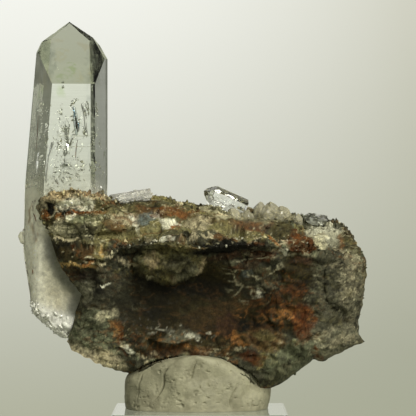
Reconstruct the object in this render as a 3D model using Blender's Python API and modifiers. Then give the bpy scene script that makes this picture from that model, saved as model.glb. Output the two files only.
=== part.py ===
"""Enhydro quartz crystal on its matrix, on a putty lump and a clear block.

One tall clear quartz prism with a six-faced point grows from the left end of a long layered
rock. Four smaller crystals sit on the rock's crest. The rock stands in a lump of pale
putty, and the putty sits on a clear square block.

Lengths below are in millimetres. X runs to the right along the rock, Y to the back and Z up.
The origin is the centre of the block's underside.
"""
import math

import bmesh
import bpy
import numpy as np
from mathutils import Vector

MM = 0.001
TOUCH_GAP = 0.3

# Clear block
BLOCK_WIDTH = 43.5
BLOCK_DEPTH = 43.5
BLOCK_HEIGHT = 12.0
BLOCK_EDGE_ROUND = 0.6

# Putty lump
PUTTY_CENTRE = (-1.1, 1.0)
PUTTY_HALF_WIDTH = 18.3
PUTTY_HALF_DEPTH = 16.0
PUTTY_HEIGHT = 13.8
PUTTY_WIDEST_AT = 4.4
PUTTY_FOOT = 0.93
PUTTY_CUT = -0.55
PUTTY_SQUARENESS = 0.67

# Tall crystal: quartz angles, and sizes read across the prism
PRISM_AXIS = (-32.5, 0.0)
FIRST_FACE_COMPASS = -82.0
POINT_FACE_LEAN = 51.8
CRYSTAL_TIP = (-32.95, 5.95, 109.2)
PRISM_REFERENCE_Z = 89.2
CRYSTAL_FOOT_Z = 29.8

# Each prism face: turn from the front face, distance from the axis at the reference height,
# and how much further out it stands for each millimetre down
PRISM_FACES = (
    (0, 6.78, 0.0),
    (60, 8.25, 0.0),
    (120, 8.03, 0.0),
    (180, 6.78, 0.0),
    (240, 8.25, 0.080),
    (300, 8.03, 0.068),
)
# Each point face: turn from the front face, and how far beyond the tip it passes
POINT_FACES = (
    (0, 0.0),
    (60, 2.56),
    (120, 0.0),
    (180, 0.5),
    (240, 0.0),
    (300, 3.2),
)
# The broken lower left side, as the outline's corners in X and Z
BROKEN_SIDE = (
    (-44.5, 55.5),
    (-43.5, 46.75),
    (-41.5, 36.25),
    (-34.2, 30.0),
)
TAB_CENTRE = (-44.6, -0.5, 54.8)
TAB_SIZE = (2.6, 2.4, 3.4)

# Rock outline seen from the front, corner to corner, in X and Z
ROCK_TOP = (
    (-40.75, 62.2), (-39.0, 64.6), (-36.8, 66.1), (-34.0, 66.3), (-31.5, 67.1), (-29.0, 66.2),
    (-26.5, 65.8), (-24.5, 66.5), (-23.0, 64.6), (-20.0, 64.4), (-16.5, 65.0), (-12.0, 65.6),
    (-8.3, 65.0), (-6.5, 64.0), (-3.0, 63.7), (2.0, 62.5), (7.0, 61.6), (13.0, 61.8),
    (20.2, 62.0), (22.7, 60.9), (26.5, 59.8), (30.0, 58.4), (33.7, 59.3), (36.2, 57.3),
)
ROCK_RIGHT = (
    (41.25, 28.6), (40.1, 30.5), (39.7, 34.2), (40.8, 38.0), (41.3, 42.2), (41.75, 45.5),
    (41.7, 48.8), (41.2, 50.6), (39.4, 53.0), (38.3, 55.6), (36.2, 57.3),
)
ROCK_BOTTOM = (
    (-33.0, 29.2), (-31.8, 27.2), (-29.0, 25.8), (-24.0, 23.0), (-19.0, 21.3), (-12.0, 18.6),
    (0.0, 16.6), (10.0, 16.0), (17.5, 16.9), (20.6, 18.4), (24.5, 21.2), (28.2, 24.3),
    (30.8, 23.9), (34.5, 25.7), (38.5, 27.6), (41.25, 28.6),
)
ROCK_LEFT = (
    (-33.0, 29.2), (-31.6, 33.0), (-30.6, 37.5), (-29.2, 41.0), (-32.0, 44.3), (-35.0, 48.8),
    (-36.3, 53.0), (-37.5, 57.2), (-40.75, 62.2),
)
# Depth curves along the rock: X, then Y or Z
CREST_Y = ((-41, -6.2), (-37, -9.3), (-31, -9.6), (-26, -9.0), (-23, -6.5), (-18, -1.0),
           (-8, 1.5), (10, 2.5), (30, 3.0), (42, 3.0))
LIP_Z = ((-41, 60.0), (-36, 55.0), (-32, 48.5), (-24, 48.0), (-20, 52.5), (-8, 54.0),
         (0, 52.5), (10, 53.5), (18, 53.0), (28, 51.0), (42, 47.0))
LIP_Y = ((-41, -7.0), (-36, -11.3), (-30, -12.8), (-22, -14.5), (-12, -16.5), (0, -18.0),
         (12, -18.0), (20, -16.0), (30, -12.5), (38, -7.0), (42, -2.0))
RECESS_Y = ((-41, -7.0), (-36, -9.5), (-30, -9.2), (-22, -10.0), (-12, -10.0), (0, -10.5),
            (12, -11.0), (20, -12.0), (30, -10.5), (38, -6.0), (42, -2.0))
KEEL_Y = ((-41, -5.0), (-33, -6.5), (-26, -8.0), (-12, -7.5), (5, -8.0), (20, -10.0),
          (30, -9.0), (38, -5.0), (42, -1.0))
BACK_Y = ((-41, -4.0), (-38, 0.0), (-35, 5.0), (-30, 12.0), (-22, 17.0), (-8, 22.0),
          (8, 23.0), (22, 20.0), (33, 15.0), (42, 9.0))
LIP_DROP = 0.9
# Rounded forms on the front: X, Z, half width, half height, how far forward
FRONT_FORMS = (
    (-7.3, 47.8, 8.4, 4.3, 5.2),
    (-29.5, 50.2, 6.5, 2.6, 1.8),
    (-7.5, 29.9, 5.2, 2.0, 3.0),
    (0.5, 37.0, 15.0, 8.5, -4.2),
    (24.0, 54.3, 4.6, 3.2, 1.8),
    (31.5, 53.5, 5.0, 4.6, 1.9),
    (36.0, 44.0, 5.5, 8.0, 1.8),
    (31.0, 28.5, 9.0, 4.5, 2.6),
    (-27.5, 31.5, 5.0, 5.5, 1.2),
    (-22.0, 59.0, 6.0, 2.6, 1.3),
    (3.0, 58.0, 8.0, 2.6, 1.6),
)
ROCK_COLUMNS = 62
ROCK_ROWS = 30
LEDGE_THICKNESS = 4.2
LEDGE_STEP = 1.3
LEDGE_DIP = 0.07
CHIP_SIZE = 5.2
CHIP_STEP = 0.55
CHIP_TILT = 0.26

# Small crystals on the crest: foot, tip, width, turn about the axis, flattening
SMALL_CRYSTALS = {
    "tilted_point": ((11.2, -0.8, 62.0), (0.9, -2.8, 66.6), 4.3, 12.0, 0.95),
    "lying_point": ((-12.2, -2.6, 65.6), (-23.0, -4.4, 65.2), 3.3, 20.0, 0.75),
    "end_point": ((31.6, -1.0, 58.9), (25.6, -2.0, 60.0), 2.7, 8.0, 0.85),
}
# Cluster right of the tilted point: the same numbers for each crystal in it
CLUSTER_CRYSTALS = (
    ((14.9, 0.4, 59.6), (15.1, -0.2, 64.1), 3.2, 5.0, 0.9),
    ((18.0, 0.0, 59.8), (17.5, -1.0, 64.0), 4.2, 25.0, 0.9),
    ((21.2, -0.4, 60.0), (19.8, -1.2, 62.9), 3.2, 15.0, 0.9),
)


def lattice(cell, seed):
    """Repeatable number from 0 to 1 for each whole-number cell."""
    ix, iy, iz = (cell[..., k].astype(np.int64) for k in range(3))
    mixed = ix * 374761393 + iy * 668265263 + iz * 2147483647 + seed * 974711
    mixed = (mixed ^ (mixed >> 13)) * 1274126177 & 0xFFFFFFFF
    mixed = (mixed ^ (mixed >> 16)) * 2246822519 & 0xFFFFFFFF
    return ((mixed ^ (mixed >> 15)) & 0xFFFF) / 65535.0


def smooth_noise(points, size, seed):
    """Value noise from -1 to 1: lattice numbers blended with a smooth step."""
    scaled = points / size
    base = np.floor(scaled)
    part = scaled - base
    part = part * part * (3 - 2 * part)
    total = np.zeros(points.shape[:-1])
    for corner in np.ndindex(2, 2, 2):
        offset = np.array(corner)
        weight = np.prod(np.where(offset == 1, part, 1 - part), axis=-1)
        total += weight * lattice(base + offset, seed)
    return total * 2 - 1


def chip_relief(points, size, step, tilt, seed):
    """Broken-stone facets: each scattered seed point owns a flat, tilted, raised patch."""
    scaled = points / size
    base = np.floor(scaled)
    nearest = np.full(points.shape[:-1], 9e9)
    relief = np.zeros(points.shape[:-1])
    for corner in np.ndindex(3, 3, 3):
        cell = base + np.array(corner) - 1
        jitter = np.stack([lattice(cell, seed + k) for k in range(3)], axis=-1)
        away = scaled - cell - jitter
        distance = np.sum(away * away, axis=-1)
        slope = np.stack([lattice(cell, seed + 3 + k) * 2 - 1 for k in range(3)], axis=-1)
        level = lattice(cell, seed + 6) * 2 - 1
        height = level * step + np.sum(slope * away, axis=-1) * tilt * size
        closer = distance < nearest
        nearest = np.where(closer, distance, nearest)
        relief = np.where(closer, height, relief)
    return relief


def curve(table, x):
    """Value of a hand-drawn curve at x, straight between its points."""
    xs, values = zip(*table)
    return np.interp(x, xs, values)


def along(outline, part):
    """Point at a share of an outline's length, from 0 to 1."""
    corners = np.array(outline, dtype=float)
    runs = np.linalg.norm(np.diff(corners, axis=0), axis=1)
    reach = np.concatenate(([0.0], np.cumsum(runs))) / runs.sum()
    return np.stack([np.interp(part, reach, corners[:, k]) for k in range(2)], axis=-1)


def step_up(value, low, high):
    """Smooth rise from 0 at low to 1 at high."""
    part = np.clip((value - low) / (high - low), 0, 1)
    return part * part * (3 - 2 * part)


def compass_normal(compass):
    """Level unit vector that points along a compass angle, from +X towards +Y."""
    turn = math.radians(compass)
    return Vector((math.cos(turn), math.sin(turn), 0.0))


def plane(normal, point):
    """Plane with its unit normal and a point on it, both as vectors in mm."""
    return Vector(normal).normalized(), Vector(point)


def tall_crystal_planes():
    """Prism faces, point faces and the broken lower side of the tall crystal."""
    planes = []
    centre = Vector((PRISM_AXIS[0], PRISM_AXIS[1], PRISM_REFERENCE_Z))
    for turn, distance, lean in PRISM_FACES:
        out = compass_normal(FIRST_FACE_COMPASS + turn)
        planes.append(plane(out + Vector((0, 0, lean)), centre + out * distance))
    for turn, beyond in POINT_FACES:
        out = compass_normal(FIRST_FACE_COMPASS + turn)
        lean = math.radians(POINT_FACE_LEAN)
        normal = out * math.sin(lean) + Vector((0, 0, math.cos(lean)))
        planes.append(plane(normal, Vector(CRYSTAL_TIP) + normal * beyond))
    for upper, lower in zip(BROKEN_SIDE[:-1], BROKEN_SIDE[1:]):
        run = Vector((lower[0] - upper[0], 0, lower[1] - upper[1]))
        normal = Vector((run.z, 0, -run.x))
        planes.append(plane(normal, (upper[0], 0, upper[1])))
    planes.append(plane((0.1, 0, -1), (BROKEN_SIDE[-1][0], 0, CRYSTAL_FOOT_Z)))
    return planes


def small_crystal_planes(foot, tip, width, turn, flattening):
    """A hexagonal prism from foot to tip with a six-faced point, laid along its axis."""
    foot, tip = Vector(foot), Vector(tip)
    axis = (tip - foot).normalized()
    side = axis.cross(Vector((0, 1, 0))).normalized()
    other = axis.cross(side)
    lean = math.radians(POINT_FACE_LEAN)
    planes = [plane(-axis, foot)]
    for face in range(6):
        angle = math.radians(turn + 60 * face)
        out = side * math.cos(angle) * flattening + other * math.sin(angle)
        out.normalize()
        planes.append(plane(out, foot + out * width / 2))
        beyond = (face % 2) * width * 0.12
        planes.append(plane(out * math.sin(lean) + axis * math.cos(lean), tip + out * beyond))
    return planes


def crystal_front(x, z):
    """Y of the tall crystal's front at x and z: the rearmost of its front-facing planes."""
    fronts = []
    for normal, point in tall_crystal_planes():
        if normal.y < -0.05:
            offset = normal.dot(point)
            fronts.append((offset - normal.x * x - normal.z * z) / normal.y)
    return np.max(fronts, axis=0)


def rock_outline_grid(columns, rows):
    """X and Z on the rock's outline face: a Coons patch between its four outline sides."""
    u = np.linspace(0, 1, columns + 1)[:, None]
    v = np.linspace(0, 1, rows + 1)[None, :]
    top, bottom = along(ROCK_TOP, u[:, 0]), along(ROCK_BOTTOM, u[:, 0])
    left, right = along(ROCK_LEFT, v[0]), along(ROCK_RIGHT, v[0])
    u, v = u[..., None], v[..., None]
    across = (1 - u) * left[None] + u * right[None]
    upward = (1 - v) * bottom[:, None] + v * top[:, None]
    corners = ((1 - u) * (1 - v) * bottom[0] + u * (1 - v) * bottom[-1]
               + (1 - u) * v * top[0] + u * v * top[-1])
    grid = across + upward - corners
    return grid[..., 0], grid[..., 1], u[..., 0], v[..., 0]


def rock_front(x, z, top, bottom):
    """Y of the front: crest to lip, a step back under the lip, then down to the keel."""
    lip = curve(LIP_Z, x)
    above = np.clip((top - z) / np.maximum(top - lip, 1.0), 0, 1)
    below = np.clip((lip - z) / np.maximum(lip - bottom, 1.0), 0, 1)
    upper = curve(CREST_Y, x) + (curve(LIP_Y, x) - curve(CREST_Y, x)) * above ** 0.8
    lower = curve(RECESS_Y, x) + (curve(KEEL_Y, x) - curve(RECESS_Y, x)) * below
    front = np.where(z > lip, upper, lower + (curve(LIP_Y, x) - lower)
                     * (1 - step_up(lip - z, 0.0, 1.6)))
    for centre_x, centre_z, half_x, half_z, forward in FRONT_FORMS:
        away = ((x - centre_x) / half_x) ** 2 + ((z - centre_z) / half_z) ** 2
        front = front - forward * np.clip(1 - away ** 2, 0, 1) ** 0.7
    return front


def rock_sheets(columns, rows):
    """Front and back points of the rock, which meet along the outline."""
    x, z, u, v = rock_outline_grid(columns, rows)
    top, bottom = z[:, -1:], z[:, :1]
    rim_crest = curve(CREST_Y, x)
    rim_left = crystal_front(x, z) - 0.5
    rim = rim_left + (rim_crest - rim_left) * step_up(u + 0 * v, 0.0, 0.10)
    rim = np.where((v > 0.98) & (x > -40), rim_crest, rim)
    ends = (1 - np.abs(2 * u - 1) ** 14) ** 0.5
    heights = (1 - np.abs(2 * v - 1) ** 9) ** 0.5
    back_heights = (1 - np.abs(2 * v - 1) ** 2.6) ** 0.6
    front = rim + (rock_front(x, z, top, bottom) - rim) * ends * heights
    back = rim + (curve(BACK_Y, x) - rim) * (1 - np.abs(2 * u - 1) ** 6) ** 0.5 * back_heights
    return np.stack([x, front, z], axis=-1), np.stack([x, back, z], axis=-1)


def rock_relief(points):
    """Ledges that dip along the rock, plus chipped facets, in mm along the surface normal."""
    wander = smooth_noise(points, 9.0, 11) * 2.2
    layer = (points[..., 2] + LEDGE_DIP * points[..., 0] + wander) / LEDGE_THICKNESS
    shelf = np.abs((layer % 1.0) - 0.35) / 0.65
    ledges = (0.5 - shelf) * LEDGE_STEP
    chips = chip_relief(points, CHIP_SIZE, CHIP_STEP, CHIP_TILT, 21)
    return ledges + chips + smooth_noise(points, 14.0, 31) * 0.6


def sheet_normals(points, outward):
    """Unit normals of a grid of points, turned to the side given by outward."""
    along_u = np.gradient(points, axis=0)
    along_v = np.gradient(points, axis=1)
    normals = np.cross(along_u, along_v)
    normals /= np.maximum(np.linalg.norm(normals, axis=-1, keepdims=True), 1e-9)
    return normals * np.sign(np.sum(normals * np.array(outward), axis=-1, keepdims=True) + 1e-9)


def rim_fade(columns, rows):
    """Share from 0 on the outline rim to 1 a few cells in, for each grid point."""
    fade_u = np.minimum(np.arange(columns + 1), columns - np.arange(columns + 1)) / 3.0
    fade_v = np.minimum(np.arange(rows + 1), rows - np.arange(rows + 1)) / 2.0
    return np.minimum(np.clip(fade_u, 0, 1)[:, None], np.clip(fade_v, 0, 1)[None, :])


def move_along(points, outward):
    """Points pushed along their normals by the rock's relief, still on the outline rim."""
    fade = rim_fade(points.shape[0] - 1, points.shape[1] - 1)
    push = rock_relief(points) * fade
    return points + sheet_normals(points, outward) * push[..., None]


def crystal_mesh(name, planes, grow):
    """A convex crystal: a large cube cut back by every plane, each moved out by grow."""
    form = bmesh.new()
    bmesh.ops.create_cube(form, size=400.0)
    for normal, point in planes:
        cut = bmesh.ops.bisect_plane(form, geom=form.verts[:] + form.edges[:] + form.faces[:],
                                     plane_co=point + normal * grow, plane_no=normal,
                                     dist=1e-4, clear_outer=True)
        rim = [item for item in cut["geom_cut"] if isinstance(item, bmesh.types.BMEdge)]
        if rim:
            bmesh.ops.contextual_create(form, geom=rim)
    bmesh.ops.remove_doubles(form, verts=form.verts, dist=0.01)
    bmesh.ops.recalc_face_normals(form, faces=form.faces)
    bmesh.ops.scale(form, vec=(MM, MM, MM), verts=form.verts)
    mesh = bpy.data.meshes.new(name)
    form.to_mesh(mesh)
    form.free()
    return mesh


def material(name, colour, roughness, alpha=1.0, transmission=0.0, ior=1.5):
    """Principled material with the piece's colour and roughness."""
    made = bpy.data.materials.new(name)
    made.use_nodes = True
    shader = made.node_tree.nodes["Principled BSDF"]
    shader.inputs["Base Color"].default_value = (*colour, 1.0)
    shader.inputs["Roughness"].default_value = roughness
    shader.inputs["Metallic"].default_value = 0.0
    shader.inputs["Transmission Weight"].default_value = transmission
    shader.inputs["IOR"].default_value = ior
    shader.inputs["Alpha"].default_value = alpha
    made.diffuse_color = (*colour, alpha)
    return made


def place(name, mesh, group, surface=None):
    """New object from a mesh, in one of the two collections."""
    piece = bpy.data.objects.new(name, mesh)
    group.objects.link(piece)
    if surface is not None:
        piece.data.materials.append(surface)
    return piece


def hidden_cutter(name, mesh, group):
    """Cutter object: not rendered, and drawn as wire."""
    cutter = place(name, mesh, group)
    cutter.hide_render = True
    cutter.display_type = "WIRE"
    return cutter


def combine(piece, other, operation):
    """Exact Boolean of another object on a piece, kept as a live modifier."""
    step = piece.modifiers.new(other.name, "BOOLEAN")
    step.operation = operation
    step.solver = "EXACT"
    step.object = other


def settle(piece):
    """Turn a piece's modifiers into its mesh, and keep only its largest closed body."""
    bpy.context.view_layer.update()
    solved = piece.evaluated_get(bpy.context.evaluated_depsgraph_get())
    mesh = bpy.data.meshes.new_from_object(solved)
    piece.modifiers.clear()
    form = bmesh.new()
    form.from_mesh(mesh)
    bmesh.ops.remove_doubles(form, verts=form.verts, dist=0.02 * MM)
    bmesh.ops.dissolve_degenerate(form, edges=form.edges, dist=0.01 * MM)
    keep_largest(form)
    bmesh.ops.triangulate(form, faces=form.faces)
    form.to_mesh(mesh)
    form.free()
    piece.data = mesh


def keep_largest(form):
    """Drop every loose body but the one with the most vertices."""
    waiting = set(form.verts)
    bodies = []
    while waiting:
        body, front = set(), [waiting.pop()]
        while front:
            vertex = front.pop()
            body.add(vertex)
            near = {edge.other_vert(vertex) for edge in vertex.link_edges}
            fresh = near & waiting
            waiting -= fresh
            front.extend(fresh)
        bodies.append(body)
    bodies.sort(key=len)
    scrap = [vertex for body in bodies[:-1] for vertex in body]
    if scrap:
        bmesh.ops.delete(form, geom=scrap, context="VERTS")


def grid_faces(columns, rows, first, flipped):
    """Quads of a grid of vertices that are numbered column by column."""
    quads = []
    for column in range(columns):
        for row in range(rows):
            corner = first + column * (rows + 1) + row
            quad = (corner, corner + rows + 1, corner + rows + 2, corner + 1)
            quads.append(quad[::-1] if flipped else quad)
    return quads


def rock_mesh(name, grow):
    """Loft of the rock's front and back sheets, joined along the outline."""
    front, back = rock_sheets(ROCK_COLUMNS, ROCK_ROWS)
    front, back = move_along(front, (0, -1, 0)), move_along(back, (0, 1, 0))
    droop = step_up(front[..., 2] - curve(LIP_Z, front[..., 0]), -0.4, 1.2)
    droop *= 1 - step_up(front[..., 2] - curve(LIP_Z, front[..., 0]), 1.2, 6.0)
    front[..., 2] -= LIP_DROP * droop * rim_fade(ROCK_COLUMNS, ROCK_ROWS)
    count = (ROCK_COLUMNS + 1) * (ROCK_ROWS + 1)
    points = np.concatenate([front.reshape(-1, 3), back.reshape(-1, 3)]) * MM
    quads = grid_faces(ROCK_COLUMNS, ROCK_ROWS, 0, False)
    quads += grid_faces(ROCK_COLUMNS, ROCK_ROWS, count, True)
    form = bmesh.new()
    vertices = [form.verts.new(point) for point in points]
    for quad in quads:
        form.faces.new([vertices[index] for index in quad])
    bmesh.ops.remove_doubles(form, verts=form.verts, dist=0.02 * MM)
    bmesh.ops.recalc_face_normals(form, faces=form.faces)
    form.normal_update()
    for vertex in form.verts:
        vertex.co += vertex.normal * grow * MM
    bmesh.ops.triangulate(form, faces=form.faces)
    mesh = bpy.data.meshes.new(name)
    form.to_mesh(mesh)
    form.free()
    return mesh


def putty_mesh():
    """Pressed lump: each ring's half width falls off as a power of its height above the
    widest one, and more slowly in depth, so the front stays steep; with finger dents."""
    form = bmesh.new()
    bmesh.ops.create_uvsphere(form, u_segments=34, v_segments=18, radius=1.0)
    widest = PUTTY_WIDEST_AT / PUTTY_HEIGHT
    for vertex in form.verts:
        height = (max(vertex.co.z, PUTTY_CUT) - PUTTY_CUT) / (1 - PUTTY_CUT)
        rise = max(height - widest, 0.0) / (1 - widest)
        sink = max(widest - height, 0.0) / widest
        spread = max(1 - rise ** 2.2, 0.0) * (1 - (1 - PUTTY_FOOT) * sink ** 2)
        if vertex.co.z < PUTTY_CUT:
            spread = PUTTY_FOOT * (1 + vertex.co.z) / (1 + PUTTY_CUT)
        angle = math.atan2(vertex.co.y, vertex.co.x)
        depth = math.copysign(abs(math.sin(angle)) ** PUTTY_SQUARENESS, math.sin(angle))
        dent = 1 + 0.025 * math.sin(3 * angle + 0.6) + 0.018 * math.sin(7 * angle + height * 4)
        across = math.cos(angle) * spread ** 0.5 * dent
        inward = depth * spread ** (PUTTY_SQUARENESS / 2) * dent
        vertex.co.x = PUTTY_CENTRE[0] + across * PUTTY_HALF_WIDTH
        vertex.co.y = PUTTY_CENTRE[1] + inward * PUTTY_HALF_DEPTH
        vertex.co.z = BLOCK_HEIGHT + TOUCH_GAP + height * PUTTY_HEIGHT
    bmesh.ops.recalc_face_normals(form, faces=form.faces)
    bmesh.ops.scale(form, vec=(MM, MM, MM), verts=form.verts)
    mesh = bpy.data.meshes.new("putty_mount")
    form.to_mesh(mesh)
    form.free()
    return mesh


def make_block(group, surface):
    """Clear square block with small rounded edges, its underside at Z zero."""
    form = bmesh.new()
    bmesh.ops.create_cube(form, size=1.0)
    size = (BLOCK_WIDTH * MM, BLOCK_DEPTH * MM, BLOCK_HEIGHT * MM)
    bmesh.ops.scale(form, vec=size, verts=form.verts)
    bmesh.ops.translate(form, vec=(0, 0, BLOCK_HEIGHT * MM / 2), verts=form.verts)
    mesh = bpy.data.meshes.new("clear_base")
    form.to_mesh(mesh)
    form.free()
    block = place("clear_base", mesh, group, surface)
    rounding = block.modifiers.new("edge_round", "BEVEL")
    rounding.width = BLOCK_EDGE_ROUND * MM
    rounding.segments = 3
    return block


def make_tall_crystal(group, guides, surface):
    """The tall prism with its point, and the small tab crystal fused to its left side."""
    crystal = place("quartz_crystal", crystal_mesh("quartz_crystal", tall_crystal_planes(), 0),
                    group, surface)
    tab = bmesh.new()
    bmesh.ops.create_cone(tab, cap_ends=True, segments=6, radius1=0.5, radius2=0.3, depth=1.0)
    bmesh.ops.scale(tab, vec=[length * MM for length in TAB_SIZE], verts=tab.verts)
    bmesh.ops.translate(tab, vec=Vector(TAB_CENTRE) * MM, verts=tab.verts)
    mesh = bpy.data.meshes.new("tab_guide")
    tab.to_mesh(mesh)
    tab.free()
    combine(crystal, hidden_cutter("tab_guide", mesh, guides), "UNION")
    return crystal


def make_cluster(group, guides, surface):
    """Three short crystals grown into each other, joined in one solid."""
    planes = [small_crystal_planes(*numbers) for numbers in CLUSTER_CRYSTALS]
    cluster = place("crest_cluster", crystal_mesh("crest_cluster", planes[0], 0), group, surface)
    for index, more in enumerate(planes[1:]):
        guide = hidden_cutter(f"cluster_guide_{index}", crystal_mesh("guide", more, 0), guides)
        combine(cluster, guide, "UNION")
    return cluster, planes


def main():
    """Build every piece in its collection, and the cutters in another."""
    for item in list(bpy.data.objects):
        bpy.data.objects.remove(item, do_unlink=True)
    group = bpy.data.collections.new("enhydro_quartz_crystal")
    guides = bpy.data.collections.new("cutters")
    for collection in (group, guides):
        bpy.context.scene.collection.children.link(collection)

    clear_quartz = material("clear_quartz", (0.86, 0.88, 0.86), 0.05, 0.4, 0.9, 1.544)
    milky_quartz = material("milky_quartz", (0.78, 0.79, 0.74), 0.2, 0.6, 0.7, 1.544)
    grey_quartz = material("grey_quartz", (0.40, 0.40, 0.37), 0.2, 0.7, 0.6, 1.544)
    matrix_stone = material("matrix_stone", (0.24, 0.19, 0.14), 0.75)
    putty = material("mineral_putty", (0.56, 0.54, 0.45), 0.7)
    acrylic = material("clear_acrylic", (0.93, 0.95, 0.95), 0.03, 0.3, 1.0, 1.49)

    crystal = make_tall_crystal(group, guides, clear_quartz)
    settle(crystal)
    rock = place("matrix_rock", rock_mesh("matrix_rock", 0.0), group, matrix_stone)
    combine(rock, hidden_cutter("tall_crystal_socket", crystal_mesh(
        "socket", tall_crystal_planes(), TOUCH_GAP), guides), "DIFFERENCE")
    finishes = {"tilted_point": clear_quartz, "lying_point": milky_quartz,
                "end_point": grey_quartz}
    for name, numbers in SMALL_CRYSTALS.items():
        planes = small_crystal_planes(*numbers)
        place(name, crystal_mesh(name, planes, 0), group, finishes[name].copy())
        socket = hidden_cutter(name + "_socket", crystal_mesh("socket", planes, TOUCH_GAP), guides)
        combine(rock, socket, "DIFFERENCE")
    cluster, cluster_planes = make_cluster(group, guides, milky_quartz)
    settle(cluster)
    for index, planes in enumerate(cluster_planes):
        socket = hidden_cutter(f"cluster_socket_{index}",
                               crystal_mesh("socket", planes, TOUCH_GAP), guides)
        combine(rock, socket, "DIFFERENCE")
    settle(rock)

    mount = place("putty_mount", putty_mesh(), group, putty)
    combine(mount, hidden_cutter("rock_print", rock_mesh("rock_print", TOUCH_GAP), guides),
            "DIFFERENCE")
    settle(mount)
    make_block(group, acrylic)


main()
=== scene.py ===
"""Looks of the enhydro quartz crystal: clear prism, layered rock, putty lump and clear block.

Every length in the shape functions is in millimetres, in the CAD's own frame: X right along
the rock, Y to the back, Z up from the block's underside. MM turns them into metres. Every
noise and every scatter takes a seed of its own, a whole number, so each run gives the same
result. Lengths in materials are in metres, and noise scales in lumps per metre.
"""
import math

import bpy
import bmesh
import numpy as np
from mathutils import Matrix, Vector


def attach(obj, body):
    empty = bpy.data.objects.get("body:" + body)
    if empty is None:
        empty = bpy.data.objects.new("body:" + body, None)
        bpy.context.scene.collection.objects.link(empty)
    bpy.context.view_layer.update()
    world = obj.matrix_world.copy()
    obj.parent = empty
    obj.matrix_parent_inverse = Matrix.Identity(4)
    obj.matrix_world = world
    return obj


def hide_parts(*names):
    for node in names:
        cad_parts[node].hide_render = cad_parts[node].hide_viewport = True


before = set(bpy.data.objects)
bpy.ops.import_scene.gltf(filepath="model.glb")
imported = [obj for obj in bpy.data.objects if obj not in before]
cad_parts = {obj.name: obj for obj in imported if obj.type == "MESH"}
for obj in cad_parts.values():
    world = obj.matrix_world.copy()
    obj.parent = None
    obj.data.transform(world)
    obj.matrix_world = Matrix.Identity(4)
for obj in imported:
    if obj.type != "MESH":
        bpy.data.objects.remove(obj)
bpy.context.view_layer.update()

MM = 0.001
BODY = "root"


# Camera: level, far away, as the photograph was taken
CAMERA_AT = (2.0, -700.0, 62.25)
VIEW_WIDTH = 104.0
SENSOR = 36.0


# Large numbers that scramble a cell's place, its seed and then their mixture
CELL_MIX = (374761393, 668265263, 2147483647)
SEED_MIX = 974711
SCRAMBLE = ((13, 1274126177), (16, 2246822519))
KEPT_BITS = 0xFFFFFFFF
TOP_NUMBER = 0xFFFF


def lattice(cell, seed):
    """Repeatable number from 0 to 1 for each whole-number cell, by integer mixing."""
    whole = cell.astype(np.int64)
    mixed = sum(whole[..., axis] * CELL_MIX[axis] for axis in range(3)) + seed * SEED_MIX
    for shift, factor in SCRAMBLE:
        mixed = (mixed ^ (mixed >> shift)) * factor & KEPT_BITS
    return ((mixed ^ (mixed >> 15)) & TOP_NUMBER) / TOP_NUMBER


def lattice_vectors(cell, seed):
    """Three lattice numbers for each cell, as a vector."""
    return np.stack([lattice(cell, seed + axis) for axis in range(3)], axis=-1)


def smooth_noise(points, size, seed):
    """Value noise from -1 to 1: lattice numbers blended with a smooth step."""
    scaled = points / size
    base = np.floor(scaled)
    part = scaled - base
    part = part * part * (3 - 2 * part)
    total = np.zeros(points.shape[:-1])
    for corner in np.ndindex(2, 2, 2):
        offset = np.array(corner)
        weight = np.prod(np.where(offset == 1, part, 1 - part), axis=-1)
        total += weight * lattice(base + offset, seed)
    return total * 2 - 1


def rough_noise(points, size, seed, octaves=4):
    """Sum of smooth noises, each half the size and 0.55 of the height of the one before."""
    total = np.zeros(points.shape[:-1])
    for step in range(octaves):
        total += smooth_noise(points, size / 2 ** step, seed + step) * 0.55 ** step
    return total


def noise_vectors(points, size, seed):
    """Three smooth noises at each point, as a vector."""
    return np.stack([smooth_noise(points, size, seed + axis) for axis in range(3)], axis=-1)


# How sharply the facets of broken stone meet
CHIP_CRISPNESS = 26.0


def chip_relief(points, size, step, tilt, seed):
    """Broken-stone facets: each scattered seed point owns a flat, tilted, raised patch.

    Neighbouring patches are blended by their closeness, so that steps are steep but not torn.
    """
    scaled = points / size
    base = np.floor(scaled)
    total = np.zeros(points.shape[:-1])
    relief = np.zeros(points.shape[:-1])
    for corner in np.ndindex(3, 3, 3):
        cell = base + np.array(corner) - 1
        away = scaled - cell - lattice_vectors(cell, seed)
        closeness = np.exp(-CHIP_CRISPNESS * np.sum(away * away, axis=-1)) + 1e-30
        slope = lattice_vectors(cell, seed + 3) * 2 - 1
        level = lattice(cell, seed + 6) * 2 - 1
        relief += closeness * (level * step + np.sum(slope * away, axis=-1) * tilt * size)
        total += closeness
    return relief / total


def curve(table, x):
    """Value of a given curve at x, straight between its points."""
    xs, values = zip(*table)
    return np.interp(x, xs, values)


def along(outline, part):
    """Point at a share of an outline's length, from 0 to 1."""
    corners = np.array(outline, dtype=float)
    runs = np.linalg.norm(np.diff(corners, axis=0), axis=1)
    reach = np.concatenate(([0.0], np.cumsum(runs))) / runs.sum()
    return np.stack([np.interp(part, reach, corners[:, k]) for k in range(2)], axis=-1)


def step_up(value, low, high):
    """Smooth rise from 0 at low to 1 at high."""
    part = np.clip((value - low) / (high - low), 0, 1)
    return part * part * (3 - 2 * part)


def swell(share, power, root):
    """Rise from 0 at both ends of a share to 1 between: the higher the power, the squarer."""
    return (1 - np.abs(2 * share - 1) ** power) ** root


def unit(vectors):
    """Vectors brought to length 1."""
    return vectors / np.linalg.norm(vectors, axis=-1, keepdims=True)


def square_pair(axis, hint):
    """Two unit vectors square to an axis and to each other, the first square to the hint too."""
    side = unit(np.cross(axis, hint))
    return side, np.cross(axis, side)


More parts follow.
